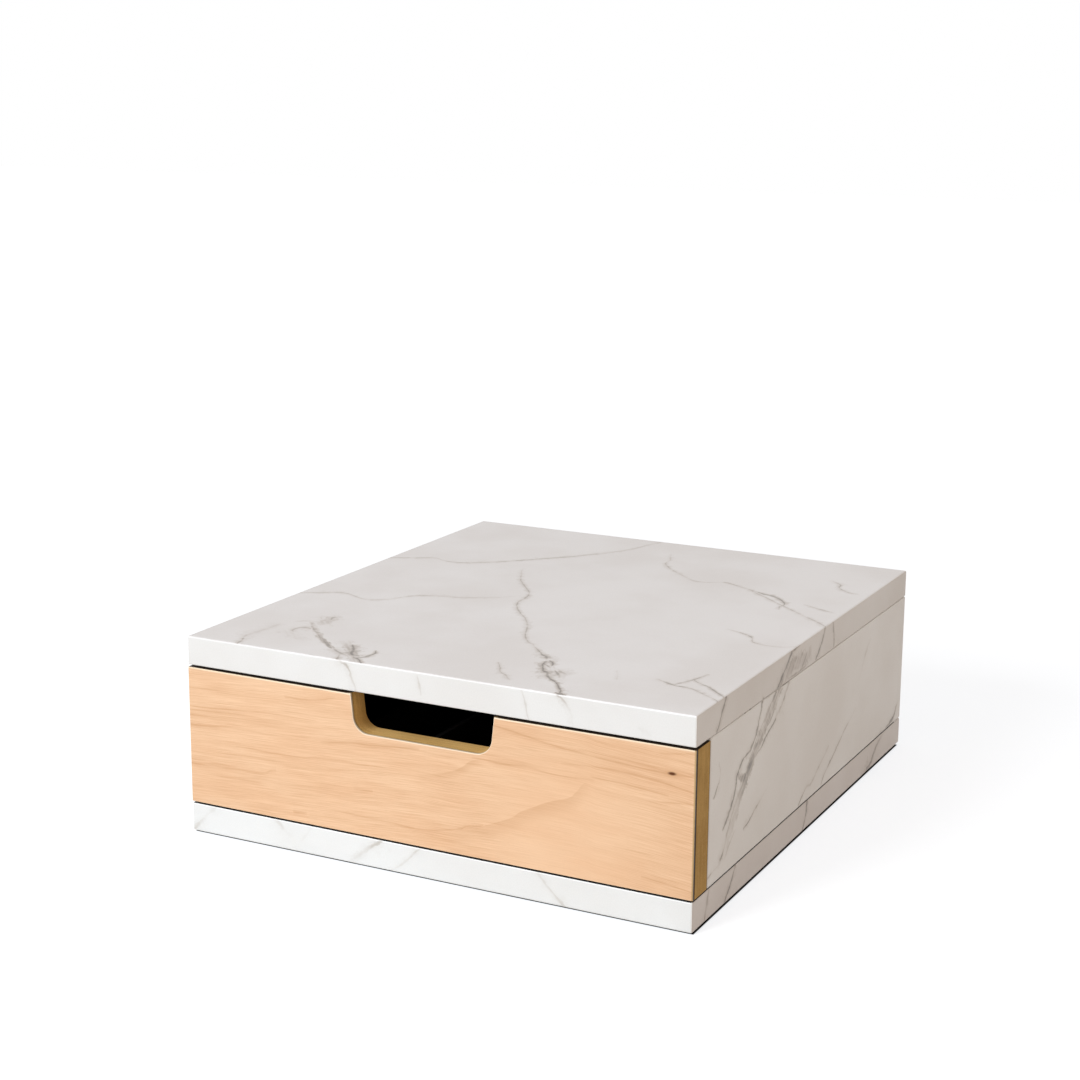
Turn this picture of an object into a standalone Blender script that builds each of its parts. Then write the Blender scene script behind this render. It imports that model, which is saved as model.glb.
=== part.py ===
"""A coffee capsule drawer: a low case of faced boards with one drawer on ball slides.

Lengths are in metres. +Z is up and the drawer front faces -Y. The origin lies on the
surface that the case stands on, under the middle of the case.
"""

import math

import bmesh
import bpy
from mathutils import Matrix, Vector

# The gap kept where two pieces are glued, seated or screwed together
JOINT = 0.0003
# How far a cutter runs past the face that it opens
OVERRUN = 0.002

# Case: four faced boards of one thickness, standing on pads
CASE_WIDTH = 0.295
CASE_DEPTH = 0.330
BOARD = 0.016
BAY_HEIGHT = 0.078
BOARD_ARRIS = 0.0008
STAND_OFF = 0.0012
PAD_RADIUS = 0.010
PAD_INSET = 0.024
PAD_ROUNDING = 0.0004

# Back panel, held in grooves of all four boards
BACK_THICKNESS = 0.006
BACK_INSET = 0.010
BACK_GROOVE = 0.005

# Fixings of the case: screws up through the base, dowels under the top
FIXING_INSET = 0.070
CASE_SCREW_LENGTH = 0.050
CASE_SCREW_RADIUS = 0.0032
CASE_SCREW_HEAD_RADIUS = 0.0048
CASE_SCREW_HEAD_HEIGHT = 0.0042
SOCKET_RADIUS = 0.0023
SOCKET_DEPTH = 0.0026
DOWEL_RADIUS = 0.004
DOWEL_LENGTH = 0.030
DOWEL_IN_TOP = 0.010
DOWEL_CHAMFER = 0.001

# Drawer front: a bare-edged core with a thin wood facing, over the ends of the sides
FRONT_CORE = 0.016
FACING = 0.0012
FACING_ARRIS = 0.0005
FRONT_GAP_ABOVE = 0.0012
FRONT_GAP_BELOW = 0.0008
FRONT_GAP_BEHIND = 0.0008

# Finger cutout, open at the upper edge and left of the middle
CUTOUT_WIDTH = 0.0836
CUTOUT_DEPTH = 0.0206
CUTOUT_OFFSET = 0.0032
CUTOUT_RADIUS = 0.009
CUTOUT_TAPER = math.radians(6)
CUTOUT_STEPS = 10
GRIP_BEVEL = 0.005

# Drawer box: front and back rebated into the sides, bottom in a groove
BOX_BOARD = 0.012
BOX_LIFT = 0.006
BOX_BELOW_CUTOUT = 0.0080
BOX_REAR_SPACE = 0.006
BOX_REBATE = 0.004
BOX_ARRIS = 0.0004
BOTTOM_THICKNESS = 0.003
BOTTOM_LIFT = 0.008
BOTTOM_GROOVE = 0.005

# Lanes for one row of capsules each
LANES = 5
DIVIDER = 0.003
DIVIDER_HEIGHT = 0.026
DIVIDER_SLOT = 0.003

# Screws that hold the front board to the box front
FRONT_SCREW_LENGTH = 0.025
FRONT_SCREW_RADIUS = 0.002
FRONT_SCREW_HEAD_RADIUS = 0.004
FRONT_SCREW_HEAD_HEIGHT = 0.0022

# Ball slides: three nested channels of sheet steel, with two rows of caged balls between
SLIDE_HEIGHT = 0.035
SLIDE_THICKNESS = 0.0127
SLIDE_SETBACK = 0.002
SLIDE_REAR_SPACE = 0.044
RAIL_SHEET = 0.0012
RAIL_LIP = 0.0017
CABINET_RAIL_DEPTH = 0.0094
BALL_RADIUS = 0.0013
BALL_PLAY = 0.0003
BALLS_IN_ROW = 5
CAGE_SHEET = 0.0008
CAGE_PLAY = 0.0006
CAGE_LENGTH = 0.100
CAGE_END = 0.010
BUFFER_LENGTH = 0.006
RAIL_SCREW_INSET = 0.035
RAIL_SCREW_LENGTH = 0.010
RAIL_SCREW_RADIUS = 0.0016
RAIL_SCREW_HEAD_RADIUS = 0.0032
RAIL_SCREW_HEAD_HEIGHT = 0.0016

ROUND_STEPS = 16
PAD_STEPS = 24

# Levels
base_top = STAND_OFF + BOARD
bay_top = base_top + BAY_HEIGHT
case_top = bay_top + BOARD
front_bottom = base_top + FRONT_GAP_BELOW
front_top = bay_top - FRONT_GAP_ABOVE
cutout_bottom = front_top - CUTOUT_DEPTH
box_bottom = base_top + BOX_LIFT
box_top = cutout_bottom - BOX_BELOW_CUTOUT
box_middle = (box_bottom + box_top) / 2
tray_low = box_bottom + BOTTOM_LIFT
tray_high = tray_low + BOTTOM_THICKNESS

# Depths, from the front face back
case_front = -CASE_DEPTH / 2
case_rear = CASE_DEPTH / 2
facing_back = case_front + FACING
core_front = facing_back + JOINT
core_back = core_front + FRONT_CORE
bevel_front = core_back - GRIP_BEVEL
side_front = core_back + FRONT_GAP_BEHIND
back_front = case_rear - BACK_INSET - BACK_THICKNESS
back_rear = case_rear - BACK_INSET
box_front = core_back + JOINT
box_rear = back_front - BOX_REAR_SPACE
tray_front = box_front + BOX_BOARD
tray_rear = box_rear - BOX_BOARD
rail_front = side_front + SLIDE_SETBACK
rail_rear = back_front - SLIDE_REAR_SPACE
moving_rail_rear = rail_rear - BUFFER_LENGTH - JOINT

# Half widths
case_half = CASE_WIDTH / 2
bay_half = case_half - BOARD
box_half = bay_half - SLIDE_THICKNESS - 2 * JOINT
tray_half = box_half - BOX_BOARD
side_middle = case_half - BOARD / 2
lane = (2 * tray_half - (LANES - 1) * DIVIDER) / LANES
lane_pitch = lane + DIVIDER

# Slide section: depth from the case side's inner face, and half heights of each channel
ball_space = 2 * (BALL_RADIUS + BALL_PLAY)
cabinet_half = SLIDE_HEIGHT / 2
cabinet_inner = cabinet_half - RAIL_SHEET
middle_half = cabinet_inner - ball_space
middle_inner = middle_half - RAIL_SHEET
drawer_half = middle_inner - ball_space
outer_cage_web = RAIL_SHEET + CAGE_PLAY
middle_web = outer_cage_web + CAGE_SHEET + CAGE_PLAY
inner_cage_web = middle_web + RAIL_SHEET + CAGE_PLAY
drawer_edge = inner_cage_web + CAGE_SHEET + CAGE_PLAY
drawer_web = SLIDE_THICKNESS
middle_edge = drawer_web - RAIL_SHEET - CAGE_PLAY
cabinet_lip = CABINET_RAIL_DEPTH - RAIL_SHEET
middle_lip = middle_edge - RAIL_SHEET

for leftover in list(bpy.data.objects):
    bpy.data.objects.remove(leftover)

parts = bpy.data.collections.new("coffee_capsule_drawer")
cutters = bpy.data.collections.new("cutters")
bpy.context.scene.collection.children.link(parts)
bpy.context.scene.collection.children.link(cutters)


def finish(name, colour, roughness, metallic=0.0):
    """A plain Principled material."""
    material = bpy.data.materials.new(name)
    material.use_nodes = True
    shader = material.node_tree.nodes["Principled BSDF"]
    shader.inputs["Base Color"].default_value = (*colour, 1.0)
    shader.inputs["Roughness"].default_value = roughness
    shader.inputs["Metallic"].default_value = metallic
    return material


stone_laminate = finish("stone_laminate", (0.83, 0.82, 0.80), 0.35)
white_panel = finish("white_panel", (0.78, 0.77, 0.75), 0.45)
dark_panel = finish("dark_panel", (0.035, 0.034, 0.034), 0.50)
bare_core = finish("bare_core", (0.34, 0.21, 0.08), 0.75)
wood_facing = finish("wood_facing", (0.87, 0.58, 0.35), 0.45)
thin_fibreboard = finish("thin_fibreboard", (0.045, 0.040, 0.036), 0.65)
beech_dowel = finish("beech_dowel", (0.60, 0.42, 0.25), 0.70)
zinc_steel = finish("zinc_steel", (0.62, 0.63, 0.65), 0.32, 1.0)
screw_steel = finish("screw_steel", (0.70, 0.66, 0.52), 0.30, 1.0)
cage_steel = finish("cage_steel", (0.48, 0.48, 0.50), 0.40, 1.0)
buffer_rubber = finish("buffer_rubber", (0.03, 0.03, 0.03), 0.80)
pad_felt = finish("pad_felt", (0.05, 0.05, 0.05), 0.95)


def carrier(name, y):
    """An empty on the slides' line, at depth y, that its pieces travel with."""
    empty = bpy.data.objects.new(name, None)
    empty.location = (0, y, box_middle)
    parts.objects.link(empty)
    return empty


def ride(piece, empty):
    """Parents a piece to an empty and leaves it where it is."""
    bpy.context.view_layer.update()
    piece.parent = empty
    piece.matrix_parent_inverse = empty.matrix_world.inverted()


def place(name, mesh, material):
    """An object of the model, or a cutter where it has no material."""
    piece = bpy.data.objects.new(name, mesh)
    if material is None:
        cutters.objects.link(piece)
        piece.hide_render = True
        piece.display_type = "WIRE"
    else:
        parts.objects.link(piece)
        mesh.materials.append(material)
    return piece


def add_bevel(piece, width):
    bevel = piece.modifiers.new("arris", "BEVEL")
    bevel.width = width
    bevel.segments = 2
    bevel.limit_method = "ANGLE"


def boolean(piece, tool, operation="DIFFERENCE"):
    modifier = piece.modifiers.new(tool.name, "BOOLEAN")
    modifier.operation = operation
    modifier.object = tool
    modifier.solver = "EXACT"


def block(name, low, high, material=None, arris=0.0):
    """A box between two opposite corners, with its origin in its middle."""
    low = Vector(low)
    high = Vector(high)
    mesh = bpy.data.meshes.new(name)
    shape = bmesh.new()
    bmesh.ops.create_cube(shape, size=1, matrix=Matrix.Diagonal((*(high - low), 1)))
    shape.to_mesh(mesh)
    shape.free()
    piece = place(name, mesh, material)
    piece.location = (low + high) / 2
    if arris:
        add_bevel(piece, arris)
    return piece


def prism(name, outline, front, rear, material, arris=0.0):
    """A flat outline of (x, z) points, thick along Y from front to rear."""
    curve = bpy.data.curves.new(name + "_outline", "CURVE")
    curve.dimensions = "2D"
    curve.fill_mode = "BOTH"
    curve.extrude = (rear - front) / 2
    spline = curve.splines.new("POLY")
    spline.points.add(len(outline) - 1)
    for point, (x, z) in zip(spline.points, outline):
        point.co = (x, z, 0, 1)
    spline.use_cyclic_u = True
    drawn = bpy.data.objects.new(name + "_outline", curve)
    drawn.rotation_euler.x = math.pi / 2
    drawn.location.y = (front + rear) / 2
    parts.objects.link(drawn)
    bpy.context.view_layer.update()
    graph = bpy.context.evaluated_depsgraph_get()
    mesh = bpy.data.meshes.new_from_object(drawn.evaluated_get(graph))
    shape = bmesh.new()
    shape.from_mesh(mesh)
    bmesh.ops.remove_doubles(shape, verts=shape.verts, dist=JOINT / 100)
    bmesh.ops.dissolve_limit(
        shape, angle_limit=math.radians(1), verts=shape.verts, edges=shape.edges
    )
    bmesh.ops.recalc_face_normals(shape, faces=shape.faces)
    shape.to_mesh(mesh)
    shape.free()
    piece = place(name, mesh, material)
    piece.matrix_world = drawn.matrix_world
    bpy.data.objects.remove(drawn)
    if arris:
        add_bevel(piece, arris)
    return piece


def turned(name, profile, head, direction, steps, material=None):
    """A profile of (radius, height) points, top to bottom, turned about an axis.

    Height zero goes to the point head, and falling heights run along direction.
    """
    mesh = bpy.data.meshes.new(name)
    points = [(radius, 0, height) for radius, height in profile]
    mesh.from_pydata(points, [(i, i + 1) for i in range(len(points) - 1)], [])
    piece = place(name, mesh, material)
    piece.location = head
    down = Vector((0, 0, -1))
    piece.rotation_euler = down.rotation_difference(Vector(direction)).to_euler()
    spin = piece.modifiers.new("turn", "SCREW")
    spin.steps = steps
    spin.render_steps = steps
    spin.use_merge_vertices = True
    spin.merge_threshold = JOINT / 100
    return piece


def screw_profile(radius, length, head_radius, head_height, grow=0.0, above=0.0):
    """A countersunk screw with a pointed end, swelled by grow for its hole."""
    point = length - radius
    return [
        (0, above),
        (head_radius + grow, above),
        (head_radius + grow, 0),
        (radius + grow, -head_height),
        (radius + grow, -point),
        (radius / 2 + grow, -length - grow),
        (0, -length - grow),
    ]


def plain_profile(radius, length, head_radius, head_height):
    """The same screw without the extra corner that its hole needs at the face."""
    profile = screw_profile(radius, length, head_radius, head_height)
    return [profile[0]] + profile[2:]


def drive_screw(name, sizes, head, direction, through, material):
    """A countersunk screw, with its hole cut in each piece that it goes through."""
    screw = turned(name, plain_profile(*sizes), head, direction, ROUND_STEPS, material)
    bore = turned(
        name + "_bore",
        screw_profile(*sizes, grow=JOINT, above=OVERRUN),
        head,
        direction,
        ROUND_STEPS,
    )
    for piece in through:
        boolean(piece, bore)
    return screw


def round_profile(radius, length, edge, grow=0.0):
    """A short round bar with a broken edge at both ends."""
    return [
        (0, grow),
        (radius + grow - edge, grow),
        (radius + grow, grow - edge),
        (radius + grow, edge - length - grow),
        (radius + grow - edge, -length - grow),
        (0, -length - grow),
    ]


# Case boards
top_board = block(
    "top_board",
    (-case_half, case_front, bay_top),
    (case_half, case_rear, case_top),
    stone_laminate,
    BOARD_ARRIS,
)
base_board = block(
    "base_board",
    (-case_half, case_front, STAND_OFF),
    (case_half, case_rear, base_top),
    stone_laminate,
    BOARD_ARRIS,
)
side_boards = {}
for side, sign in (("left", -1), ("right", 1)):
    inner, outer = sorted((sign * bay_half, sign * case_half))
    side_boards[side] = block(
        side + "_side_board",
        (inner, side_front, base_top + JOINT),
        (outer, case_rear, bay_top - JOINT),
        stone_laminate,
        BOARD_ARRIS,
    )

# Back panel, with one cutter for its grooves in all four boards
panel_reach = BACK_GROOVE - JOINT
back_panel = block(
    "back_panel",
    (-bay_half - panel_reach, back_front, base_top - panel_reach),
    (bay_half + panel_reach, back_rear, bay_top + panel_reach),
    white_panel,
)
back_grooves = block(
    "back_grooves",
    (-bay_half - BACK_GROOVE, back_front - JOINT, base_top - BACK_GROOVE),
    (bay_half + BACK_GROOVE, back_rear + JOINT, bay_top + BACK_GROOVE),
)
for board in (top_board, base_board, *side_boards.values()):
    boolean(board, back_grooves)

# Pads under the corners
for side, sign in (("left", -1), ("right", 1)):
    for end, y in (
        ("front", case_front + PAD_INSET),
        ("rear", case_rear - PAD_INSET),
    ):
        turned(
            f"pad_{end}_{side}",
            round_profile(PAD_RADIUS, STAND_OFF - JOINT, PAD_ROUNDING),
            (sign * (case_half - PAD_INSET), y, STAND_OFF - JOINT),
            (0, 0, -1),
            PAD_STEPS,
            pad_felt,
        )

# Case screws from below and dowels above, two of each in either side
case_screw = (
    CASE_SCREW_RADIUS,
    CASE_SCREW_LENGTH,
    CASE_SCREW_HEAD_RADIUS,
    CASE_SCREW_HEAD_HEIGHT,
)
for side, sign in (("left", -1), ("right", 1)):
    for end, y in (
        ("front", side_front + FIXING_INSET),
        ("rear", case_rear - FIXING_INSET),
    ):
        screw = drive_screw(
            f"case_screw_{end}_{side}",
            case_screw,
            (sign * side_middle, y, STAND_OFF),
            (0, 0, 1),
            (base_board, side_boards[side]),
            screw_steel,
        )
        socket = turned(
            f"socket_{end}_{side}",
            [
                (0, OVERRUN),
                (SOCKET_RADIUS, OVERRUN),
                (SOCKET_RADIUS, -SOCKET_DEPTH),
                (0, -SOCKET_DEPTH),
            ],
            (sign * side_middle, y, STAND_OFF),
            (0, 0, 1),
            6,
        )
        boolean(screw, socket)
        dowel_top = (sign * side_middle, y, bay_top + DOWEL_IN_TOP)
        turned(
            f"dowel_{end}_{side}",
            round_profile(DOWEL_RADIUS, DOWEL_LENGTH, DOWEL_CHAMFER),
            dowel_top,
            (0, 0, -1),
            ROUND_STEPS,
            beech_dowel,
        )
        dowel_hole = turned(
            f"dowel_hole_{end}_{side}",
            round_profile(DOWEL_RADIUS, DOWEL_LENGTH, DOWEL_CHAMFER, JOINT),
            dowel_top,
            (0, 0, -1),
            ROUND_STEPS,
        )
        boolean(top_board, dowel_hole)
        boolean(side_boards[side], dowel_hole)


def cutout_edge(grow, above=0.0):
    """The cutout's edge in X and Z from its upper right to its upper left, swelled by grow.

    The sides lean in by the taper and meet the floor in round corners. Each arc starts
    level with the floor and ends square to the leaning side. The edge starts at a height
    above the front board's upper edge.
    """
    half = CUTOUT_WIDTH / 2
    foot = half - CUTOUT_DEPTH * math.tan(CUTOUT_TAPER)
    turn = math.pi / 2 - CUTOUT_TAPER
    arc_x = foot - CUTOUT_RADIUS * math.tan(turn / 2)
    arc_z = cutout_bottom + CUTOUT_RADIUS
    arc_radius = CUTOUT_RADIUS + grow
    lean = above * math.tan(CUTOUT_TAPER) + grow / math.cos(CUTOUT_TAPER)
    right = [(half + lean, front_top + above)]
    for i in range(CUTOUT_STEPS + 1):
        angle = -CUTOUT_TAPER - turn * i / CUTOUT_STEPS
        right.append(
            (
                arc_x + arc_radius * math.cos(angle),
                arc_z + arc_radius * math.sin(angle),
            )
        )
    left = [(-x, z) for x, z in reversed(right)]
    return [(x - CUTOUT_OFFSET, z) for x, z in right + left]


def front_outline():
    """The front's outline in X and Z, with the finger cutout let into its upper edge."""
    return [
        (-case_half, front_top),
        (-case_half, front_bottom),
        (case_half, front_bottom),
        (case_half, front_top),
        *cutout_edge(0),
    ]


def flare(name, near, far):
    """A cutter through the cutout that swells evenly from depth near to depth far.

    It has the cutout's own outline where the grip bevel starts.
    """
    mesh = bpy.data.meshes.new(name)
    shape = bmesh.new()
    for y in (near, far):
        for x, z in cutout_edge(y - bevel_front, OVERRUN):
            shape.verts.new((x, y, z))
    bmesh.ops.convex_hull(shape, input=shape.verts)
    shape.to_mesh(mesh)
    shape.free()
    return place(name, mesh, None)


# Drawer, which travels along -Y
drawer_carrier = carrier("drawer_travel", side_front)
drawer = {}
drawer["core"] = prism(
    "drawer_front_board", front_outline(), core_front, core_back, bare_core
)
boolean(
    drawer["core"], flare("grip_bevel", bevel_front - OVERRUN, core_back + OVERRUN)
)
drawer["facing"] = prism(
    "drawer_front_facing",
    front_outline(),
    case_front,
    facing_back,
    wood_facing,
    FACING_ARRIS,
)
for side, sign in (("left", -1), ("right", 1)):
    near, far = sorted((sign * tray_half, sign * box_half))
    drawer[side] = block(
        f"drawer_box_{side}",
        (near, box_front, box_bottom),
        (far, box_rear, box_top),
        dark_panel,
        BOX_ARRIS,
    )
rebate_half = tray_half + BOX_REBATE
for end, near, far in (
    ("front", box_front, tray_front),
    ("back", tray_rear, box_rear),
):
    drawer[end] = block(
        f"drawer_box_{end}",
        (JOINT - rebate_half, near, box_bottom),
        (rebate_half - JOINT, far, box_top),
        dark_panel,
        BOX_ARRIS,
    )
    into_lane = JOINT if end == "front" else OVERRUN
    past_end = OVERRUN if end == "front" else JOINT
    rebate = block(
        f"rebate_{end}",
        (-rebate_half, near - past_end, box_bottom - OVERRUN),
        (rebate_half, far + into_lane, box_top + OVERRUN),
    )
    boolean(drawer["left"], rebate)
    boolean(drawer["right"], rebate)

# Bottom panel in a groove round the box
tray_reach = BOTTOM_GROOVE - JOINT
drawer["bottom"] = block(
    "drawer_bottom",
    (-tray_half - tray_reach, tray_front - tray_reach, tray_low),
    (tray_half + tray_reach, tray_rear + tray_reach, tray_high),
    thin_fibreboard,
)
bottom_groove = block(
    "bottom_groove",
    (-tray_half - BOTTOM_GROOVE, tray_front - BOTTOM_GROOVE, tray_low - JOINT),
    (tray_half + BOTTOM_GROOVE, tray_rear + BOTTOM_GROOVE, tray_high + JOINT),
)
for name in ("left", "right", "front", "back"):
    boolean(drawer[name], bottom_groove)

# Dividers, dropped into slots in the box front and back
slot_reach = DIVIDER_SLOT - JOINT
for i in range(1, LANES):
    x = -tray_half - DIVIDER / 2 + i * lane_pitch
    drawer[f"divider_{i}"] = block(
        f"lane_divider_{i}",
        (x - DIVIDER / 2, tray_front - slot_reach, tray_high + JOINT),
        (x + DIVIDER / 2, tray_rear + slot_reach, tray_high + JOINT + DIVIDER_HEIGHT),
        thin_fibreboard,
    )
    slot = block(
        f"slot_{i}",
        (x - DIVIDER / 2 - JOINT, tray_front - DIVIDER_SLOT, tray_high),
        (x + DIVIDER / 2 + JOINT, tray_rear + DIVIDER_SLOT, box_top + OVERRUN),
    )
    boolean(drawer["front"], slot)
    boolean(drawer["back"], slot)

# Two screws from inside the box into the front board, each in the middle of a lane
front_screw = (
    FRONT_SCREW_RADIUS,
    FRONT_SCREW_LENGTH,
    FRONT_SCREW_HEAD_RADIUS,
    FRONT_SCREW_HEAD_HEIGHT,
)
for side, sign in (("left", -1), ("right", 1)):
    drawer["front_screw_" + side] = drive_screw(
        "front_screw_" + side,
        front_screw,
        (sign * lane_pitch, tray_front, box_middle),
        (0, -1, 0),
        (drawer["front"], drawer["core"]),
        screw_steel,
    )


def channel(web, edge, half_height, sheet, lip=0.0):
    """A channel section of sheet: its web at depth web, its flanges out to depth edge.

    Points are (depth, height). A lip turns the ends of both flanges in.
    """
    wall = math.copysign(sheet, edge - web)
    upper = [(web + wall, half_height - sheet)]
    if lip:
        upper += [
            (edge - wall, half_height - sheet),
            (edge - wall, half_height - sheet - lip),
            (edge, half_height - sheet - lip),
        ]
    else:
        upper.append((edge, half_height - sheet))
    upper += [(edge, half_height), (web, half_height)]
    return upper + [(depth, -height) for depth, height in reversed(upper)]


def section_at(sign, section):
    """Moves a slide section to the left or right side of the bay."""
    return [(sign * (bay_half - JOINT - u), box_middle + v) for u, v in section]


def ball_rows(name, sign, depth, height, ys):
    """The balls of one cage, one row above and one below, as a tool to join with."""
    mesh = bpy.data.meshes.new(name)
    shape = bmesh.new()
    for y in ys:
        for z in (box_middle + height, box_middle - height):
            centre = Vector((sign * (bay_half - JOINT - depth), y, z))
            bmesh.ops.create_uvsphere(
                shape,
                u_segments=8,
                v_segments=6,
                radius=BALL_RADIUS,
                matrix=Matrix.Translation(centre),
            )
    shape.to_mesh(mesh)
    shape.free()
    return place(name, mesh, None)


# Slides, one on either side: a fixed rail, a middle rail and a drawer rail
middle_carrier = carrier("middle_rail_travel", rail_front)
outer_cage_carrier = carrier("outer_cage_travel", rail_front)
inner_cage_carrier = carrier("inner_cage_travel", rail_front)
rail_screw = (
    RAIL_SCREW_RADIUS,
    RAIL_SCREW_LENGTH,
    RAIL_SCREW_HEAD_RADIUS,
    RAIL_SCREW_HEAD_HEIGHT,
)
cage_middle = (rail_front + moving_rail_rear) / 2
ball_span = CAGE_LENGTH / 2 - CAGE_END
ball_places = [
    cage_middle + ball_span * (2 * i / (BALLS_IN_ROW - 1) - 1)
    for i in range(BALLS_IN_ROW)
]
for side, sign in (("left", -1), ("right", 1)):
    cabinet_rail = prism(
        f"cabinet_rail_{side}",
        section_at(
            sign, channel(0, CABINET_RAIL_DEPTH, cabinet_half, RAIL_SHEET, RAIL_LIP)
        ),
        rail_front,
        rail_rear,
        zinc_steel,
    )
    middle_rail = prism(
        f"middle_rail_{side}",
        section_at(
            sign, channel(middle_web, middle_edge, middle_half, RAIL_SHEET, RAIL_LIP)
        ),
        rail_front,
        moving_rail_rear,
        zinc_steel,
    )
    drawer_rail = prism(
        f"drawer_rail_{side}",
        section_at(sign, channel(drawer_web, drawer_edge, drawer_half, RAIL_SHEET)),
        rail_front,
        moving_rail_rear,
        zinc_steel,
    )
    drawer["rail_" + side] = drawer_rail
    ride(middle_rail, middle_carrier)

    for name, web, edge, half, cage_carrier in (
        (
            "outer_ball_cage_" + side,
            outer_cage_web,
            cabinet_lip - CAGE_PLAY,
            (middle_half + cabinet_inner + CAGE_SHEET) / 2,
            outer_cage_carrier,
        ),
        (
            "inner_ball_cage_" + side,
            inner_cage_web,
            middle_lip - CAGE_PLAY,
            (drawer_half + middle_inner + CAGE_SHEET) / 2,
            inner_cage_carrier,
        ),
    ):
        cage = prism(
            name,
            section_at(sign, channel(web, edge, half, CAGE_SHEET)),
            cage_middle - CAGE_LENGTH / 2,
            cage_middle + CAGE_LENGTH / 2,
            cage_steel,
        )
        balls = ball_rows(
            name + "_balls",
            sign,
            (web + CAGE_SHEET + edge + CAGE_PLAY) / 2,
            half - CAGE_SHEET / 2,
            ball_places,
        )
        boolean(cage, balls, "UNION")
        ride(cage, cage_carrier)

    near, far = sorted(
        (
            sign * (bay_half - 2 * JOINT - RAIL_SHEET),
            sign * (bay_half - cabinet_lip),
        )
    )
    block(
        f"rail_buffer_{side}",
        (near, rail_rear - BUFFER_LENGTH, box_middle - cabinet_inner + JOINT),
        (far, rail_rear, box_middle + cabinet_inner - JOINT),
        buffer_rubber,
    )

    cabinet_face = sign * (bay_half - JOINT - RAIL_SHEET)
    drawer_face = sign * (bay_half - JOINT - drawer_web + RAIL_SHEET)
    for end, cabinet_y, drawer_y in (
        ("front", rail_front + RAIL_SCREW_INSET, rail_front + RAIL_SCREW_INSET),
        ("rear", rail_rear - RAIL_SCREW_INSET, moving_rail_rear - RAIL_SCREW_INSET),
    ):
        drive_screw(
            f"cabinet_rail_screw_{end}_{side}",
            rail_screw,
            (cabinet_face, cabinet_y, box_middle),
            (sign, 0, 0),
            (cabinet_rail, side_boards[side]),
            screw_steel,
        )
        drawer[f"rail_screw_{end}_{side}"] = drive_screw(
            f"drawer_rail_screw_{end}_{side}",
            rail_screw,
            (drawer_face, drawer_y, box_middle),
            (-sign, 0, 0),
            (drawer_rail, drawer[side]),
            screw_steel,
        )

for piece in drawer.values():
    ride(piece, drawer_carrier)
for tool in list(cutters.objects):
    tool.hide_set(True)
for piece in parts.objects:
    if piece.type == "MESH":
        piece.data.shade_smooth()
        piece.data.set_sharp_from_angle(angle=math.radians(30))
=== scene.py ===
import math
from functools import partialmethod, reduce

import bpy
import numpy as np
from mathutils import Matrix, Vector


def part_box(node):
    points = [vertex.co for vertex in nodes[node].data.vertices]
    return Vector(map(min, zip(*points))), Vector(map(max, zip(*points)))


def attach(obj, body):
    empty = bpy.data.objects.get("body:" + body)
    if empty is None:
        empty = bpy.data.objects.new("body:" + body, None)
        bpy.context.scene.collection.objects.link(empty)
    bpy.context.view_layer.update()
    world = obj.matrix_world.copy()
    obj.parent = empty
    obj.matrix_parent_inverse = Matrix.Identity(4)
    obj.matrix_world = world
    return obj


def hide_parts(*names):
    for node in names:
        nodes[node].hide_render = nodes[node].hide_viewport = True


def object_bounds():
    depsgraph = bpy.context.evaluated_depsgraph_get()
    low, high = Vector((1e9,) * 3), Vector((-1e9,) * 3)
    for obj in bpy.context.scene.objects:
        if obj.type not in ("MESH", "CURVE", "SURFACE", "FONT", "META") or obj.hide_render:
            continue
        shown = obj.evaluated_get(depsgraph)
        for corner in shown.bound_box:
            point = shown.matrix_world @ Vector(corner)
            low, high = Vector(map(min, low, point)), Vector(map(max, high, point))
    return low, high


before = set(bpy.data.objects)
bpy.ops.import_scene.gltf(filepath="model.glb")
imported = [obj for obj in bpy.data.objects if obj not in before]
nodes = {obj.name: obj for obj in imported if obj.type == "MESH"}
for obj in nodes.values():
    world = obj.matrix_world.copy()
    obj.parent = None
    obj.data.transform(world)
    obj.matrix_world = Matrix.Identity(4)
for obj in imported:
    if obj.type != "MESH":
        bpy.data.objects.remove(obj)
cad_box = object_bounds()

# ---------------------------------------------------------------- camera
# The viewpoint of the photograph: a long lens about a metre away, to the right of the
# drawer and a little above it, looking down by 13 degrees.
CAMERA_PLACE = (0.4953, -1.0125, 0.4038)
CAMERA_YAW = math.radians(26.987)
CAMERA_PITCH = math.radians(12.844)
CAMERA_ROLL = math.radians(0.438)
CAMERA_LENS = 67.7

camera = bpy.data.objects.new("camera", bpy.data.cameras.new("camera"))
camera.data.lens = CAMERA_LENS
camera.data.sensor_width = 36.0
camera.matrix_world = (
    Matrix.Translation(CAMERA_PLACE)
    @ Matrix.Rotation(CAMERA_YAW, 4, "Z")
    @ Matrix.Rotation(math.pi / 2 - CAMERA_PITCH, 4, "X")
    @ Matrix.Rotation(CAMERA_ROLL, 4, "Z")
)
bpy.context.scene.collection.objects.link(camera)
bpy.context.scene.camera = camera
bpy.context.scene.view_settings.view_transform = "Standard"

# ---------------------------------------------------------------- floor and light
# A pale floor under soft studio light: a large lamp in front on the left, a weak warm one
# on the right, and an even sky. Seen directly or mirrored, floor and sky are white.
FLOOR_HALF = 6.0
FLOOR_COLOUR = (0.60, 0.57, 0.535)
# Painted contact shadow: the floor's colour under the case
UNDERSIDE_COLOUR = (0.02, 0.017, 0.015)
LIFT_COLOUR = (0.883, 0.937, 1.0)
NEAR_LIFT = 0.725
FAR_LIFT = 1.0
FAR_DISTANCE = (0.5, 2.0)
LIFT_EDGE = 0.0008
CONTACT_INSET = (0.0005, 0.0026, 0.0)
SKY_COLOUR = (0.472, 0.44, 0.41)
LIGHT_TARGET = Vector((0.0, 0.0, 0.05))
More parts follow.
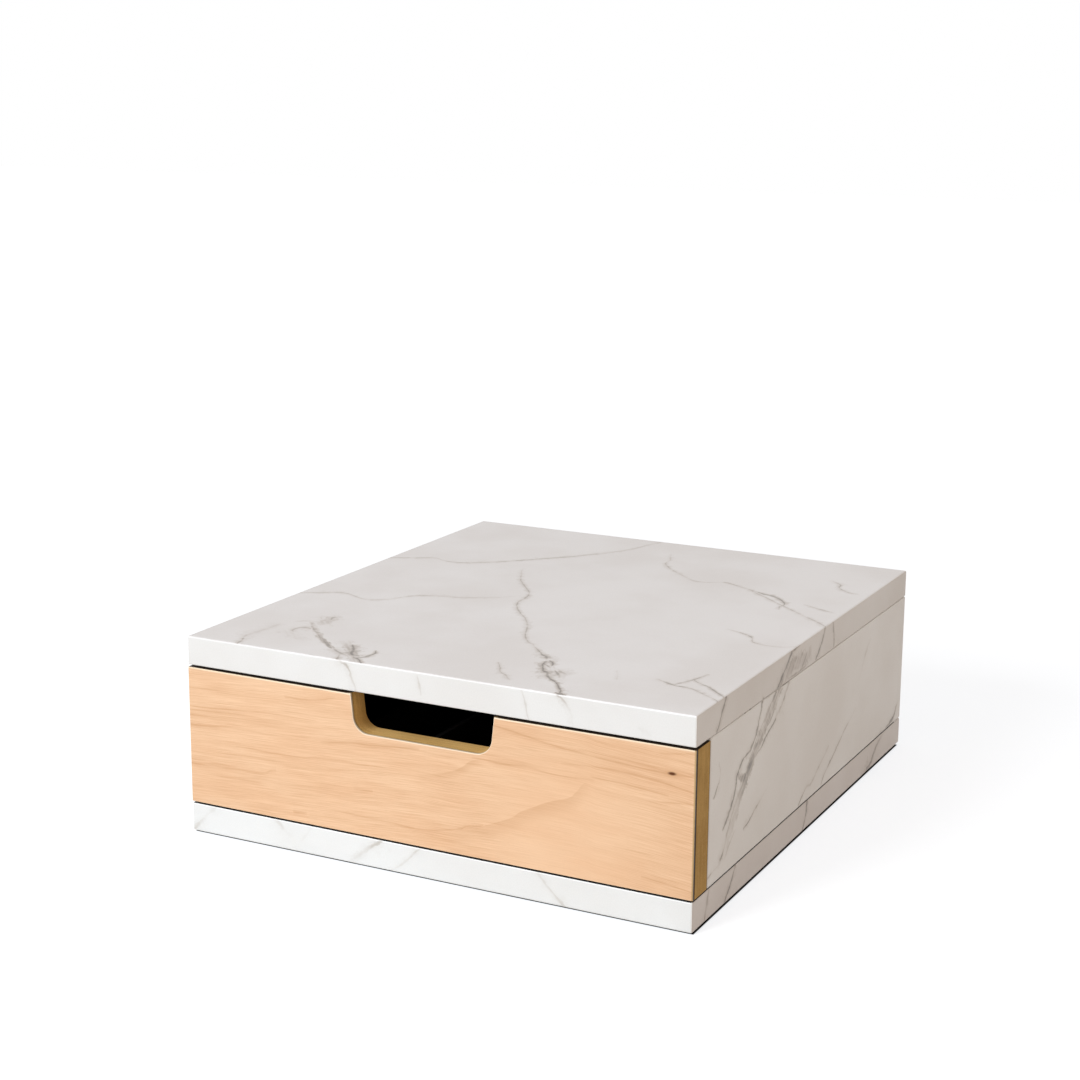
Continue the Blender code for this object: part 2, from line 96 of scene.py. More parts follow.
# Each lamp's name, place, size in metres, power in watts and colour
LAMPS = (
    ("key_lamp", (-0.9, -2.2, 1.14), 1.1, 51.5, (0.862, 0.926, 1.0)),
    ("side_lamp", (1.7, -0.45, 0.8), 1.4, 4.2, (1.0, 0.74, 0.50)),
)


def fill(node, inputs):
    """Links or sets a node's inputs."""
    for key, value in inputs.items():
        socket = node.inputs[key]
        if isinstance(value, Shade):
            node.id_data.links.new(value.socket, socket)
        else:
            socket.default_value = (*value, 1) if socket.type == "RGBA" else value


def add_node(kind, inputs=(), tree=None, **settings):
    """A shader node in the tree of its inputs, which are given by name or in order."""
    inputs = inputs if isinstance(inputs, dict) else dict(enumerate(inputs))
    tree = tree or next(value.tree for value in inputs.values() if isinstance(value, Shade))
    node = tree.nodes.new("ShaderNode" + kind)
    for name, value in settings.items():
        setattr(node, name, value)
    fill(node, inputs)
    return node


def make(kind, inputs=(), output=0, **settings):
    """One output of a new node, as a shade."""
    return Shade(add_node(kind, inputs, **settings).outputs[output])


class Shade:
    """A number, place or colour in a shader: each sum with it adds a node to its tree."""

    def __init__(self, socket):
        self.socket = socket
        self.tree = socket.id_data

    def reckon(self, operation, *others, **settings):
        """What one Math node makes of this number and others."""
        return make("Math", (self, *others), operation=operation, **settings)

    def vector(self, operation, *others):
        """What one Vector Math node makes of this vector and others."""
        output = "Value" if operation in ("LENGTH", "DOT_PRODUCT") else 0
        return make("VectorMath", (self, *others), output, operation=operation)

    __add__ = partialmethod(reckon, "ADD")
    __sub__ = partialmethod(reckon, "SUBTRACT")
    __mul__ = partialmethod(reckon, "MULTIPLY")
    __abs__ = partialmethod(reckon, "ABSOLUTE")
    __gt__ = partialmethod(reckon, "GREATER_THAN")
    __lt__ = partialmethod(reckon, "LESS_THAN")
    most = partialmethod(reckon, "MAXIMUM")
    least = partialmethod(reckon, "MINIMUM")
    less = partialmethod(vector, "SUBTRACT")
    stretched = partialmethod(vector, "MULTIPLY")

    def scaled(self, scale):
        """This vector times a number."""
        return make("VectorMath", {0: self, "Scale": scale}, operation="SCALE")

    def axes(self):
        """This vector's three numbers."""
        return [Shade(axis) for axis in add_node("SeparateXYZ", (self,)).outputs]

    def flat(self, other):
        """The vector of two numbers and zero."""
        return make("CombineXYZ", (self, other))

    def ramp(self, low, high, out_low=0.0, out_high=1.0, kind="SMOOTHSTEP"):
        """The way from low to high as a way between two results, with soft ends."""
        return make("MapRange", (self, low, high, out_low, out_high), interpolation_type=kind)

    def noise(self, scale, detail=2.0, roughness=0.5, distortion=0.0, output=0):
        """A Noise Texture at this place: output 0 is a number and 1 a colour."""
        values = {0: self, 2: scale, 3: detail, 4: roughness, 8: distortion}
        return make("TexNoise", values, output)

    def curve(self, shares, values):
        """Values over this share of a way, through points, and level beyond its ends."""
        node = add_node("FloatCurve", {"Value": self})
        node.mapping.use_clip = False
        node.mapping.extend = "HORIZONTAL"
        points = node.mapping.curves[0].points
        points[0].location, *inner, points[-1].location = zip(shares, values)
        for point in inner:
            points.new(*point)
        node.mapping.update()
        return Shade(node.outputs[0])


def mix(factor, below, above, blend_type="MIX"):
    """Two colours, mixed by a factor."""
    colours = {0: factor, 6: below, 7: above}
    return make("Mix", colours, 2, data_type="RGBA", blend_type=blend_type)


def seen_mask(tree):
    """1 for rays that show the background: straight, mirrored or refracted."""
    path = add_node("LightPath", tree=tree).outputs
    rays = (Shade(path[f"Is {ray} Ray"]) for ray in ("Camera", "Glossy", "Transmission"))
    return reduce(Shade.most, rays)


def new_material(name):
    """An empty node material, and the place of a point on it."""
    material = bpy.data.materials.new(name)
    material.use_nodes = True
    return material, make("TexCoord", output="Object", tree=material.node_tree)


def mesh_piece(name, points, faces, material, sharp=math.radians(40)):
    """An object at the origin from points in world coordinates and faces."""
    mesh = bpy.data.meshes.new(name)
    mesh.from_pydata(np.asarray(points).reshape(-1, 3), [], faces)
    mesh.materials.append(material)
    mesh.shade_smooth()
    mesh.set_sharp_from_angle(angle=sharp)
    piece = bpy.data.objects.new(name, mesh)
    bpy.context.scene.collection.objects.link(piece)
    piece.modifiers.new("flat faces lead", "WEIGHTED_NORMAL").keep_sharp = True
    return piece


# The floor's lift towards white grows with distance, and stops under the case, so that
# the contact line stays dark. Under the case the floor is painted near black as contact shadow
floor_material, place = new_material("pale_floor")
under = Vector(cad_box[1]) - Vector(CONTACT_INSET)
across = place.vector("ABSOLUTE").less((under.x, under.y, 0)).axes()
beyond = across[0].most(across[1]).ramp(0, LIFT_EDGE)
lift = place.vector("LENGTH").ramp(*FAR_DISTANCE, NEAR_LIFT, FAR_LIFT)
fill(
    place.tree.nodes["Principled BSDF"],
    {
        "Base Color": mix(beyond, UNDERSIDE_COLOUR, FLOOR_COLOUR),
        "Roughness": 0.9,
        "Specular IOR Level": 0.0,
        "Emission Color": LIFT_COLOUR,
        "Emission Strength": lift * beyond * seen_mask(place.tree),
    },
)
corners = [(x * FLOOR_HALF, y * FLOOR_HALF, 0) for x, y in ((-1, -1), (1, -1), (1, 1), (-1, 1))]
floor = mesh_piece("floor", corners, [(0, 1, 2, 3)], floor_material)
floor.modifiers.clear()

world = bpy.data.worlds.new("studio")
world.use_nodes = True
sky = world.node_tree.nodes["Background"]
fill(sky, {"Color": mix(seen_mask(world.node_tree), SKY_COLOUR, (1, 1, 1))})
bpy.context.scene.world = world

for name, place, size, power, colour in LAMPS:
    lamp = bpy.data.lights.new(name, "AREA")
    lamp.size = size
    lamp.energy = power
    lamp.color = colour
    lamp_object = bpy.data.objects.new(name, lamp)
    turn = (LIGHT_TARGET - Vector(place)).to_track_quat("-Z", "Y").to_matrix().to_4x4()
    lamp_object.matrix_world = Matrix.Translation(place) @ turn
    bpy.context.scene.collection.objects.link(lamp_object)

# ---------------------------------------------------------------- case boards
# Four boards of 16 mm fibreboard, faced on all sides with a satin white laminate that
# carries printed grey veins, as of quarried stone. Holes and grooves cut through it show
# the tan core. The veins that can be seen in life run as they do here; the rest is made up.
STONE_WHITE = (0.815, 0.800, 0.785)
STONE_CLOUD = (0.955, 0.945, 0.935)
STONE_PORE = (0.965, 0.962, 0.958)
VEIN_SMOKE = (0.54, 0.49, 0.44)
VEIN_GREY = (0.20, 0.17, 0.145)
# Painted shade: the black of the faces that look into the case
INSIDE_BLACK = (0.022, 0.021, 0.021)
CORE_LIGHT = (0.535, 0.335, 0.118)
CORE_DARK = (0.40, 0.237, 0.074)
LAYER_STRETCH = 0.06
LAMINATE_SKIN = 0.0009
LAMINATE_BUMP = 0.00001
BROAD_VEIN = 3.0
# Each vein's width, and the two coordinates and the strength of each point on its way, in
# millimetres: Y and Z on the right, X and Y on the top, X and Z on the front
RIGHT_VEINS = (
    (6.8, -38, 107, 0, -48, 100, 0.6, -58, 91.5, 0.65, -66, 85.5, 0.6, -76, 78, 0.68, -86, 70.5, 0.75,
     -94, 64, 0.75, -102, 57, 0.6, -110, 48.5, 0.45, -118, 40, 0.4, -127, 31, 0.3, -132, 25, 0),
    (0.9, -62, 94.8, 0, -66, 90.5, 0.5, -72, 86, 0.6, -80, 80, 0.6, -88, 73.6, 0.6, -95, 67, 0.7,
     -100, 62, 0.5, -104, 57.5, 0),
    (0.8, -55, 94.8, 0, -60, 89, 0.5, -68, 82.6, 0.6, -76, 77, 0.5, -84, 70.6, 0.5, -90, 66, 0),
    (1.2, -127.5, 113, 0.9, -129.1, 110, 0.9, -133, 105, 0.8, -136.4, 99.6, 0.8, -139.7, 96.3, 0.9,
     -140.5, 95.4, 0),
    (1.7, -35, 110.9, 0, -37, 109.7, 0.9, -45.9, 103.5, 1, -53.7, 98.5, 0.95, -59.3, 94, 0.8,
     -66, 89.5, 0.6, -71, 85, 0.45, -78, 79, 0.3, -85, 72, 0),
    (3.2, -52, 97.5, 0, -58, 94, 0.5, -65, 88, 0.5, -73, 80.5, 0.6, -82, 74, 0.75, -90, 67.5, 0.85,
     -97, 62.5, 0.95, -104, 58, 0.6, -110, 53, 0),
    (1.4, -71.5, 95.3, 0, -75, 95.2, 0.7, -78.3, 94.6, 0.95, -80, 90.6, 0.9, -82.7, 86.1, 0.85,
     -85, 81.1, 1, -88.3, 77.2, 0.9, -92.2, 74.4, 0.7, -94, 73.3, 0),
    (1.35, -91, 74, 0, -95, 72.7, 0.7, -100.6, 71.6, 0.85, -106.2, 69.4, 1, -110.1, 66, 1,
     -111.8, 61.5, 1, -114, 55.9, 0.9, -117.4, 51.5, 1, -121.8, 47, 0.9, -126.9, 43, 0.75, -129, 41.8, 0),
    (3.6, -112, 67, 0, -109.5, 64, 0.5, -106, 62, 0.7, -101.7, 61, 0.7, -97, 62.5, 0.6, -92, 66.5, 0),
    (3.3, -84, 72.5, 0, -87, 69.4, 0.6, -91, 66, 0.8, -95, 61.5, 0.8, -99.5, 56.5, 0.8, -103.4, 53, 0.6,
     -106, 50.5, 0),
    (1.5, -105, 57, 0, -108.4, 54.7, 0.5, -113.5, 49.5, 0.5, -118.5, 43.5, 0.55, -123, 37.9, 0.5,
     -127.4, 30, 0.6, -129.5, 28, 0.8, -132, 26.5, 0.6, -134, 25.4, 0),
    (3.4, -108, 50, 0, -114, 44.5, 0.3, -120, 38.5, 0.35, -126, 31.5, 0.4, -130, 27.5, 0.5, -134, 24, 0),
    (1.0, -110, 37, 0, -114, 34.5, 0.35, -118.5, 31.7, 0.45, -124, 26.7, 0.3, -127, 24, 0),
    (0.8, -102, 52, 0, -106, 48.5, 0.3, -112, 42, 0.35, -116, 37, 0.3, -121, 32, 0),
    (1.2, -131, 26.5, 0, -134.1, 25.2, 0.35, -140, 24.3, 0.35, -145.3, 23.3, 0.6, -147, 22.8, 0),
    (1.1, -57, 80.2, 0, -59.3, 79, 0.8, -66, 76.1, 0.85, -72.7, 73.3, 0.8, -77.2, 70.5, 0.75,
     -83.9, 68.3, 0.6, -90, 65.5, 0.4, -95, 63, 0),
    (1.1, -59, 87, 0, -61.5, 85.1, 0.6, -66, 81.2, 0.65, -72.7, 78.4, 0.6, -78.3, 75, 0.6,
     -83.9, 71.7, 0.5, -89, 68.5, 0),
    (2.3, -37, 96.5, 0, -39.2, 94.5, 0.6, -44.8, 90.1, 0.6, -50.3, 84.6, 0.55, -55.9, 81.8, 0.4,
     -61, 79, 0.2, -66, 76, 0),
    (1.2, -135, 79.5, 0, -135.3, 78, 0.25, -134.1, 71, 0.3, -136.4, 68.4, 0.7, -140.3, 63.7, 0.75,
     -141.5, 62, 0),
    (1.0, -100.5, 32.6, 0, -99.5, 33, 0.6, -95, 34.3, 0.8, -90.6, 35.8, 0.75, -83.9, 38.6, 0.6,
     -77, 41, 0.3, -70.4, 43.5, 0.2, -64, 45, 0),
    (1.2, 16, 112, 0.8, 13.8, 108.3, 0.8, 10, 103.3, 1, 6.3, 99.5, 0.9, 2.5, 97, 0.7, 1, 95.6, 0.3,
     0, 95, 0),
    (1.6, -4, 100, 0, -10, 98, 0.3, -17, 96.8, 0.5, -28, 96.5, 0.5, -39.2, 96.4, 0.5, -43, 96.2, 0),
    (8.0, -4, 103, 0, -10, 102, 0.45, -20, 101.5, 0.62, -28, 102, 0.62, -36, 101.5, 0.55, -44, 99, 0.5,
     -54, 96, 0),
    (0.9, -37.5, 109.4, 0, -34, 110.3, 0.7, -27, 110.8, 0.6, -22, 111, 0),
    (0.7, -80, 94.8, 0, -77, 94.8, 0.6, -66, 94.8, 0.5, -52, 94.8, 0.6, -46, 94.8, 0),
    (1.0, 28.5, 112, 0.6, 28.8, 109.5, 0.6, 30.8, 103.3, 0.7, 31.3, 97, 0.6, 31.3, 95.5, 0.5,
     31.3, 95, 0),
    (1.0, 80, 50, 0, 75, 48.3, 0.15, 65, 43.3, 0.3, 55, 39.5, 0.5, 47.5, 35.8, 0.5, 40, 32, 0.7,
     32.5, 28.3, 0.7, 27.5, 25.8, 0.4, 21.3, 21.5, 0.6, 18, 18, 0),
    (1.2, 30, 39, 0, 28.8, 38.3, 0.4, 20, 34, 0.4, 10, 29.5, 0.5, 2.5, 25.8, 0.4, -7.5, 25, 0.4,
     -15, 20.8, 0.7, -17.5, 19, 0.6, -19, 17.5, 0),
    (1.0, -2.6, 17.3, 0, -3, 16.5, 0.9, -3.8, 14.5, 1, -5, 9.5, 0.9, -8.8, 3.3, 0.9, -10, 1, 0.9),
    (1.2, -108.5, 17.4, 0, -109.3, 16.5, 0.7, -110.7, 14.9, 0.8, -114, 11, 0.8, -118.5, 6, 0.9,
     -121.3, 3.8, 0.9, -123, 1, 0.7),
    (1.6, -144, 17.4, 0, -145.3, 14.4, 0.5, -147, 9.5, 0.5, -148.5, 4.5, 0.6, -149.5, 1, 0.5),
    (2.4, 140, 17.4, 0, 122.5, 13.3, 0.5, 115, 9.5, 0.7, 108.8, 4.5, 0.9, 102.5, 2, 1, 98, 0.5, 0.8),
    (2.0, 162, 31, 0, 155, 25.8, 0.6, 150, 20.8, 0.9, 141, 19, 0.7, 125, 18.5, 0.4, 110, 18, 0),
    (2.0, 100, 86, 0, 92.5, 79.5, 0.3, 87.5, 74.5, 0.3, 82, 66, 0.15, 75, 58, 0),
)
TOP_VEINS = (
    (7.0, -101, -90, 0, -98, -98, 0.45, -98, -106, 0.4, -101, -114, 0.2, -103, -120, 0),
    (7.0, -116, -132, 0, -106, -134, 0.22, -94, -139, 0.22, -82, -145, 0),
    (6.5, -72, -132, 0, -63, -139, 0.4, -54, -149, 0.6, -46, -158, 0.6, -41, -166, 0.5),
    (4.0, 40, -104, 0, 46, -112, 0.25, 49, -122, 0.35, 56, -132, 0.3, 64, -142, 0.2, 70, -152, 0),
    (0.7, 126, -98, 0, 124.5, -103.5, 0.6, 122.1, -112.5, 0.7, 119.1, -120, 0.6, 117, -126, 0),
    (0.7, 105, -118, 0, 109.5, -120, 0.5, 118.5, -124.5, 0.8, 130.5, -127.5, 0.7, 142.5, -135, 0.6,
     149, -143, 0.6),
    (0.7, 122, -110, 0, 124.5, -112.5, 0.6, 135, -120, 0.8, 147, -130.5, 0.7, 150, -133, 0.7),
    (0.8, 100, -14, 0, 108, -16.5, 0.5, 117, -21, 0.7, 123, -30, 0.6, 127.5, -33.6, 0.5, 135, -34.5, 0.4,
     145.5, -30, 0.4, 149, -28, 0.4),
    (1.1, 66, 82, 0, 78, 75, 0.5, 93, 67.5, 0.8, 105, 60, 0.9, 109.5, 45, 0.6, 112, 38, 0),
    (0.9, 120, 57, 0, 124.5, 54, 0.5, 138, 48, 0.5, 142, 46, 0),
    (1.1, 112, 120, 0, 120, 114, 0.4, 124.5, 108, 0.6, 130.5, 97.5, 0.6, 138, 94.5, 0.4, 143, 93, 0),
    (2.5, -98, -93, 0, -99, -97, 0.6, -98, -102, 0.6, -100, -104, 0.5, -102, -106.5, 0),
    (1.2, -107, -95, 0, -106, -97, 0.3, -104, -101, 0.3, -99, -105, 0.3, -96, -107, 0),
    (1.0, -114, -113, 0, -112, -112, 0.3, -106, -109, 0.35, -98, -108, 0.3, -92, -110, 0.3, -89, -112, 0),
    (2.0, -105.5, -124, 0, -104, -123, 0.5, -102, -121, 0.6, -98, -121.5, 0.5, -96, -123, 0),
    (1.5, -103.5, -122, 0, -104, -124, 0.5, -104.5, -128, 0.5, -103, -130.5, 0.4, -102, -132, 0),
    (3.2, -105, -109.5, 0, -103, -112, 0.5, -99, -116, 0.6, -95, -121, 0.65, -92, -125, 0.6,
     -88, -129, 0.65, -84, -134, 0.7, -79, -138, 0.7, -75, -141.5, 0.8, -71, -145.5, 0.9,
     -68, -147.5, 0.9, -65, -149, 0),
    (1.8, -67.5, -147.5, 0, -66, -148.5, 0.6, -62, -152, 0.6, -58, -154.5, 0.6, -54, -156, 0.6,
     -51, -157.5, 0),
    (1.5, -61, -137.5, 0, -60, -139, 0.8, -57, -142.5, 0.8, -56, -144, 0),
    (2.2, -57, -142.5, 0, -56, -144, 0.9, -54, -148, 1, -53, -151, 1, -51, -153.5, 1, -48, -154, 0.8,
     -46, -154.5, 0),
    (1.0, -44, -141, 0, -43, -143, 0.8, -41.5, -147, 0.9, -41.5, -152, 0.9, -42.5, -155, 0.9,
     -45, -158, 0.7, -46.5, -160, 0),
    (1.2, -48.5, -157.5, 0, -47, -158, 0.9, -43, -160, 0.9, -40, -163, 0.9, -38.5, -166, 0.8),
    (1.2, -57, -156, 0, -56, -158, 0.6, -54, -163, 0.7, -53, -166, 0.6),
    (2.5, -118, -118, 0, -118, -125, 0.3, -118, -132, 0.3, -119, -140, 0.35, -120, -150, 0.4,
     -118.5, -155, 0),
    (1.3, -119, -154, 0, -118, -156, 0.6, -116, -160, 0.6, -115, -164.5, 0.6, -114.5, -167, 0.6),
    (0.8, 20, -90, 0, 28, -98, 0.5, 34, -104.5, 0.7, 36, -107, 0.6, 38, -109, 0),
    (1.5, 34.5, -105.5, 0, 36, -107, 0.9, 38, -108.5, 1, 40.5, -111, 0.9, 41.5, -113, 0.5,
     42.3, -115, 0.25, 43, -117, 0.7, 43.7, -120, 0.95, 44.3, -122, 0.9, 45, -124, 0),
    (0.9, 43.6, -121, 0, 44.5, -122, 0.9, 47, -123.5, 0.8, 49.5, -125.5, 0.7, 51, -127, 0),
    (1.0, 44, -114.5, 0, 45.5, -116, 0.9, 47.5, -118, 0.9, 48.8, -120.5, 0.9, 49.5, -122.5, 0.7,
     50, -124.5, 0),
    (1.0, 43.8, -121.5, 0, 44.5, -123, 0.9, 46.5, -127, 1, 48, -130, 1, 49, -132, 1, 50.5, -133.5, 1,
     52, -135, 0),
    (1.8, 49, -131.5, 0, 50.5, -133, 0.9, 52.5, -134.5, 1, 54, -137, 1, 55.5, -139.5, 1, 57.5, -142, 0.9,
     60, -144.5, 0),
    (0.9, 55, -139, 0, 57.5, -142, 1, 60, -144.5, 1, 62.5, -146.5, 1, 65, -149, 1, 67.5, -152, 1,
     69.5, -155, 1, 71.5, -157.5, 1, 73, -160, 1, 73.5, -162, 1, 76, -164.5, 1, 77.5, -166.5, 1),
    (2.2, 54.5, -126, 0, 56, -127.5, 0.5, 58, -130, 0.6, 61, -132, 0.6, 62.5, -134, 0.5, 63.5, -136, 0),
    (1.2, 53.5, -128, 0, 55, -130, 0.6, 57, -132.5, 0.7, 59, -135, 0.7, 61, -138, 0.6, 62.5, -140.5, 0),
    (1.5, 71, -162, 0, 72, -163.5, 0.9, 76, -164.3, 0.9, 78, -164.8, 0),
    (0.8, 22, -129.5, 0, 23, -131, 0.5, 27, -137, 0.5, 30, -142, 0.5, 31.5, -144.5, 0.4, 32.5, -146, 0),
    (1.0, 31.5, -144.5, 0, 33, -146, 0.5, 37, -149, 0.5, 39.5, -152, 0.5, 41.5, -154, 0.4, 43, -156, 0),
    (0.9, 82, -114, 0, 83, -116, 0.25, 86, -122, 0.25, 88.5, -128.5, 0.25, 89.5, -131, 0),
    (1.0, -60, 60, 0, -48, 30, 0.5, -30, 5, 0.6, -22, -25, 0.6, 0, -55, 0.5, 12, -80, 0.6, 22, -91, 0.4,
     28, -98, 0),
    (1.3, -149, 40, 0.4, -120, 55, 0.5, -85, 62, 0.5, -62, 85, 0.6, -40, 110, 0.5, -20, 150, 0.4,
     -15, 167, 0.4),
    (1.1, 80, 74, 0.5, 60, 84, 0.5, 40, 80, 0.4, 22, 96, 0.5, 10, 120, 0.4, 2, 140, 0),
    (1.2, -149, -60, 0.4, -128, -48, 0.5, -100, -52, 0.4, -80, -30, 0.5, -52, -20, 0.4, -30, 5, 0),
)
FRONT_VEINS = (
    (1.6, -54, 113, 0.8, -50, 109.5, 1, -46.5, 107.5, 1, -44.5, 103.5, 0.75, -42.5, 98.5, 0.7,
     -41.5, 94.9, 0.6),
    (4.6, -53, 112, 0, -49, 109, 0.35, -46, 105, 0.3, -43, 98, 0.3, -42, 94, 0.3),
    (1.1, -5.3, 109.5, 0, -4.5, 107, 0.7, -3.3, 102, 0.7, -3, 98, 0),
    (1.0, 53, 113, 0.6, 54.3, 109.5, 0.7, 56, 104.5, 0.7, 57, 99.5, 0.8, 58.3, 95.2, 0.8,
     58.6, 94.3, 0.6),
    (1.4, 71, 113, 0.9, 73, 110.8, 1, 77.3, 108.3, 0.9, 79.8, 105.3, 0.5, 82, 99, 0.4, 82.7, 94.8, 0.3),
    (3.4, 72, 111, 0, 76, 108, 0.4, 80, 103, 0.35, 81.5, 96, 0.3, 82, 93, 0.2),
    (2.2, 116, 102, 0, 120.5, 99.5, 0.4, 125, 97, 0),
    (2.2, -131, 18, 0.45, -133.3, 15.8, 0.5, -139.5, 9.5, 0.5, -144.5, 4.5, 0.75, -148, 1, 0.75),
    (2.4, -96, 18.5, 0.4, -91, 15.5, 0.6, -87, 11.5, 0.4, -80, 6, 0),
    (1.6, -70, 18, 0.3, -72, 14, 0.4, -76, 9, 0.3, -79, 6, 0),
    (2.3, -26, 18.5, 0.9, -29.3, 15.3, 0.95, -34.5, 12, 0.9, -39.5, 7.5, 0.6, -45.8, 2.5, 0.5,
     -48, 0.5, 0.45),
    (5.0, -30, 14, 0, -36, 9, 0.3, -42, 5, 0.4, -47, 1, 0.4),
    (1.3, -1, 18, 0.5, -5.5, 15.5, 0.7, -9.3, 12, 0.9, -14.5, 7, 0.8, -18, 4, 0.5, -22, 1, 0.4),
    (1.5, 62.5, 18.5, 0.75, 64.3, 15.8, 0.75, 68, 12, 0.75, 73, 7, 0.8, 76.8, 3.3, 0.8, 80, 1, 0.7),
)
# Each face's axis and sign, how far out it lies, how dark its veins are, the coordinates
# that they are drawn in, the veins, and how they swell, smoke and lean
FACES = {
    "right": (0, 1.0, 0.14, 1.0, 1, 2, RIGHT_VEINS, 1.45, 0.4, 42),
    "front": (1, -1.0, 0.16, 0.46, 0, 2, FRONT_VEINS, 1.25, 0.45, 40),
    "top": (2, 1.0, 0.105, 1.0, 0, 1, TOP_VEINS, 1.4, 0.6, -48),
}


def node_group(work, name=None):
    """Makes a function of shades a shader node group, and gives what places the group.

    Inputs are numbers unless they are annotated. The function gives its outputs by name.
    """
    group = bpy.data.node_groups.new(name or work.__name__, "ShaderNodeTree")
    labels = work.__code__.co_varnames[: work.__code__.co_argcount]
    for label in labels:
        title, kind = label.replace("_", " ").title(), work.__annotations__.get(label, "Float")
        group.interface.new_socket(title, in_out="INPUT", socket_type="NodeSocket" + kind)
    made = work(*map(Shade, group.nodes.new("NodeGroupInput").outputs[: len(labels)]))
    for title in made:
        kind = "Color" if title == "Color" else "Float"
        group.interface.new_socket(title, in_out="OUTPUT", socket_type="NodeSocket" + kind)
    fill(group.nodes.new("NodeGroupOutput"), made)

    def placed(*values):
        outputs = [Shade(s) for s in add_node("Group", values, node_tree=group).outputs]
        return outputs if len(outputs) > 1 else outputs[0]

    return placed


@node_group
def line_axis(position: "Vector", start: "Vector", axis: "Vector", side: "Vector"):
    """Where a point lies along a line's axis, as a share, and across it in millimetres."""
    offset = position.less(start)
    return {
        "Along": offset.vector("DOT_PRODUCT", axis),
        "Across": offset.vector("DOT_PRODUCT", side),
    }


@node_group
def line_mask(across, middle, strength, width, fray, smoke):
    """A line with a sharp middle and a soft smoky edge."""
    apart = abs(across - middle) * fray
    soft = apart.ramp(0, width * 3.2, 1, 0) * smoke
    return {"Mask": apart.ramp(0, width, 1, 0).most(soft) * strength}


@node_group
def band_mask(across, middle, strength, width, fray):
    """A band that is level over its middle third and fades out at its edges."""
    apart = abs(across - middle) * fray
    return {"Mask": apart.ramp(width * 0.3, width, 1, 0) * strength}


def draw_line(profile, position, width, *path, more=()):
    """The mask of a line through (u, v, strength) points, in millimetres.

    The path's ends give its axis. Curves over the share of the way along it hold the
    distance from the axis and the strength. The profile group shades it across.
    """
    path = np.reshape(np.array(path, float), (-1, 3))
    start, axis = path[0, :2], path[-1, :2] - path[0, :2]
    length = np.hypot(*axis)
    side = np.array((-axis[1], axis[0])) / length
    offsets = path[:, :2] - start
    share, across = line_axis(position, (*start, 0), (*axis / length**2, 0), (*side, 0))
    shares = offsets @ axis / length**2
    middle, strength = (share.curve(shares, values) for values in (offsets @ side, path[:, 2]))
    return profile(across, middle, strength, width, *more)


def face_veins(name, low, high, first, second, veins, swell, smoke, lean):
    """A group with the veins of a face: on an upright one, those between two heights.

    Its position, in metres, is warped by noise of two sizes, so the drawn lines waver.
    Broad veins are bundles of streaks at an angle.
    """

    def drawn(position: "Vector"):
        place = position.scaled(1000.0)
        for scale, reach in ((70.0, 1.6), (420.0, 0.7)):
            shift = position.noise(scale, 1.0, output=1).less((0.5, 0.5, 0.5))
            place = shift.vector("MULTIPLY_ADD", (reach,) * 3, place)
        axes = place.axes()
        flat = axes[first].flat(axes[second])
        angle = {"Vector": flat, "Angle": -math.radians(lean)}
        turned = make("VectorRotate", angle, rotation_type="Z_AXIS")
        streaks = turned.stretched((0.03, 0.55, 0)).noise(1.0, 3.0).ramp(0.35, 0.62, 0.6, 1.0)
        fray = position.noise(240.0, 3.0, 0.65).ramp(0.3, 0.7, 0.65, 1.75)
        lines = []
        for width, *path in veins:
            if second == 2 and not any(low < height < high for height in path[1::3]):
                continue
            if width > BROAD_VEIN:
                line = draw_line(band_mask, flat, width, *path, more=(fray,)) * streaks
            else:
                line = draw_line(line_mask, flat, width * swell, *path, more=(fray, smoke))
            lines.append(line)
        broken = position.noise(160.0).ramp(0.3, 0.6, 0.6, 1.0)
        return {"Mask": reduce(Shade.most, lines) * broken}

    return node_group(drawn, name)


@node_group
def stone_ground(position: "Vector", white: "Color", loose_veins):
    """The laminate's ground: cloudy white, fine pores, thin veins where none are drawn."""
    cloud = position.noise(14.0, 4.0, 0.55)
    ground = mix(cloud.ramp(0.35, 0.65), white, STONE_CLOUD, "MULTIPLY")
    ridge = abs(position.noise(9.0, 3.0, 0.5, 1.4) - 0.5).ramp(0.0, 0.014, 1.0, 0.0)
    ridge = ridge * position.noise(6.0, 1.0).ramp(0.48, 0.62, 0.0, 0.5) * loose_veins
    pores = position.noise(1400.0, 2.0, 0.7)
    ground = mix(ridge, ground, VEIN_GREY)
    ground = mix(pores.ramp(0.3, 0.7, 1.0, 0.0), ground, STONE_PORE, "MULTIPLY")
    return {"Color": ground, "Roughness": cloud.ramp(0.3, 0.7, 0.34, 0.42), "Height": pores}


@node_group
def bare_fibre(position: "Vector", light: "Color", dark: "Color", layers: "Vector"):
    """Bare fibreboard: tan, with fine fibres, pressed layers and slow darker clouds."""
    grit = position.noise(1500.0, 3.0, 0.7)
    slow = position.noise(55.0, 3.0, 0.6).ramp(0.35, 0.65, 0.25, 0.75)
    layer = position.stretched(layers).noise(700.0, 2.0, 0.6).ramp(0.35, 0.65, -0.25, 0.25)
    shade = (grit.ramp(0.3, 0.7, -0.3, 0.3) + slow).reckon("ADD", layer, use_clamp=True)
    colour = mix(shade, light, dark)
    return {"Color": colour, "Roughness": grit.ramp(0.3, 0.7, 0.72, 0.9), "Height": grit}


@node_group
def inside_box(position: "Vector", low: "Vector", high: "Vector", skin):
    """1 where a point lies deeper in a box than its skin, as in holes and grooves."""
    gaps = (position.less(low), high.less(position))
    from_low, from_high = (reduce(Shade.least, gap.axes()) for gap in gaps)
    return {"Mask": from_low.least(from_high) > skin}


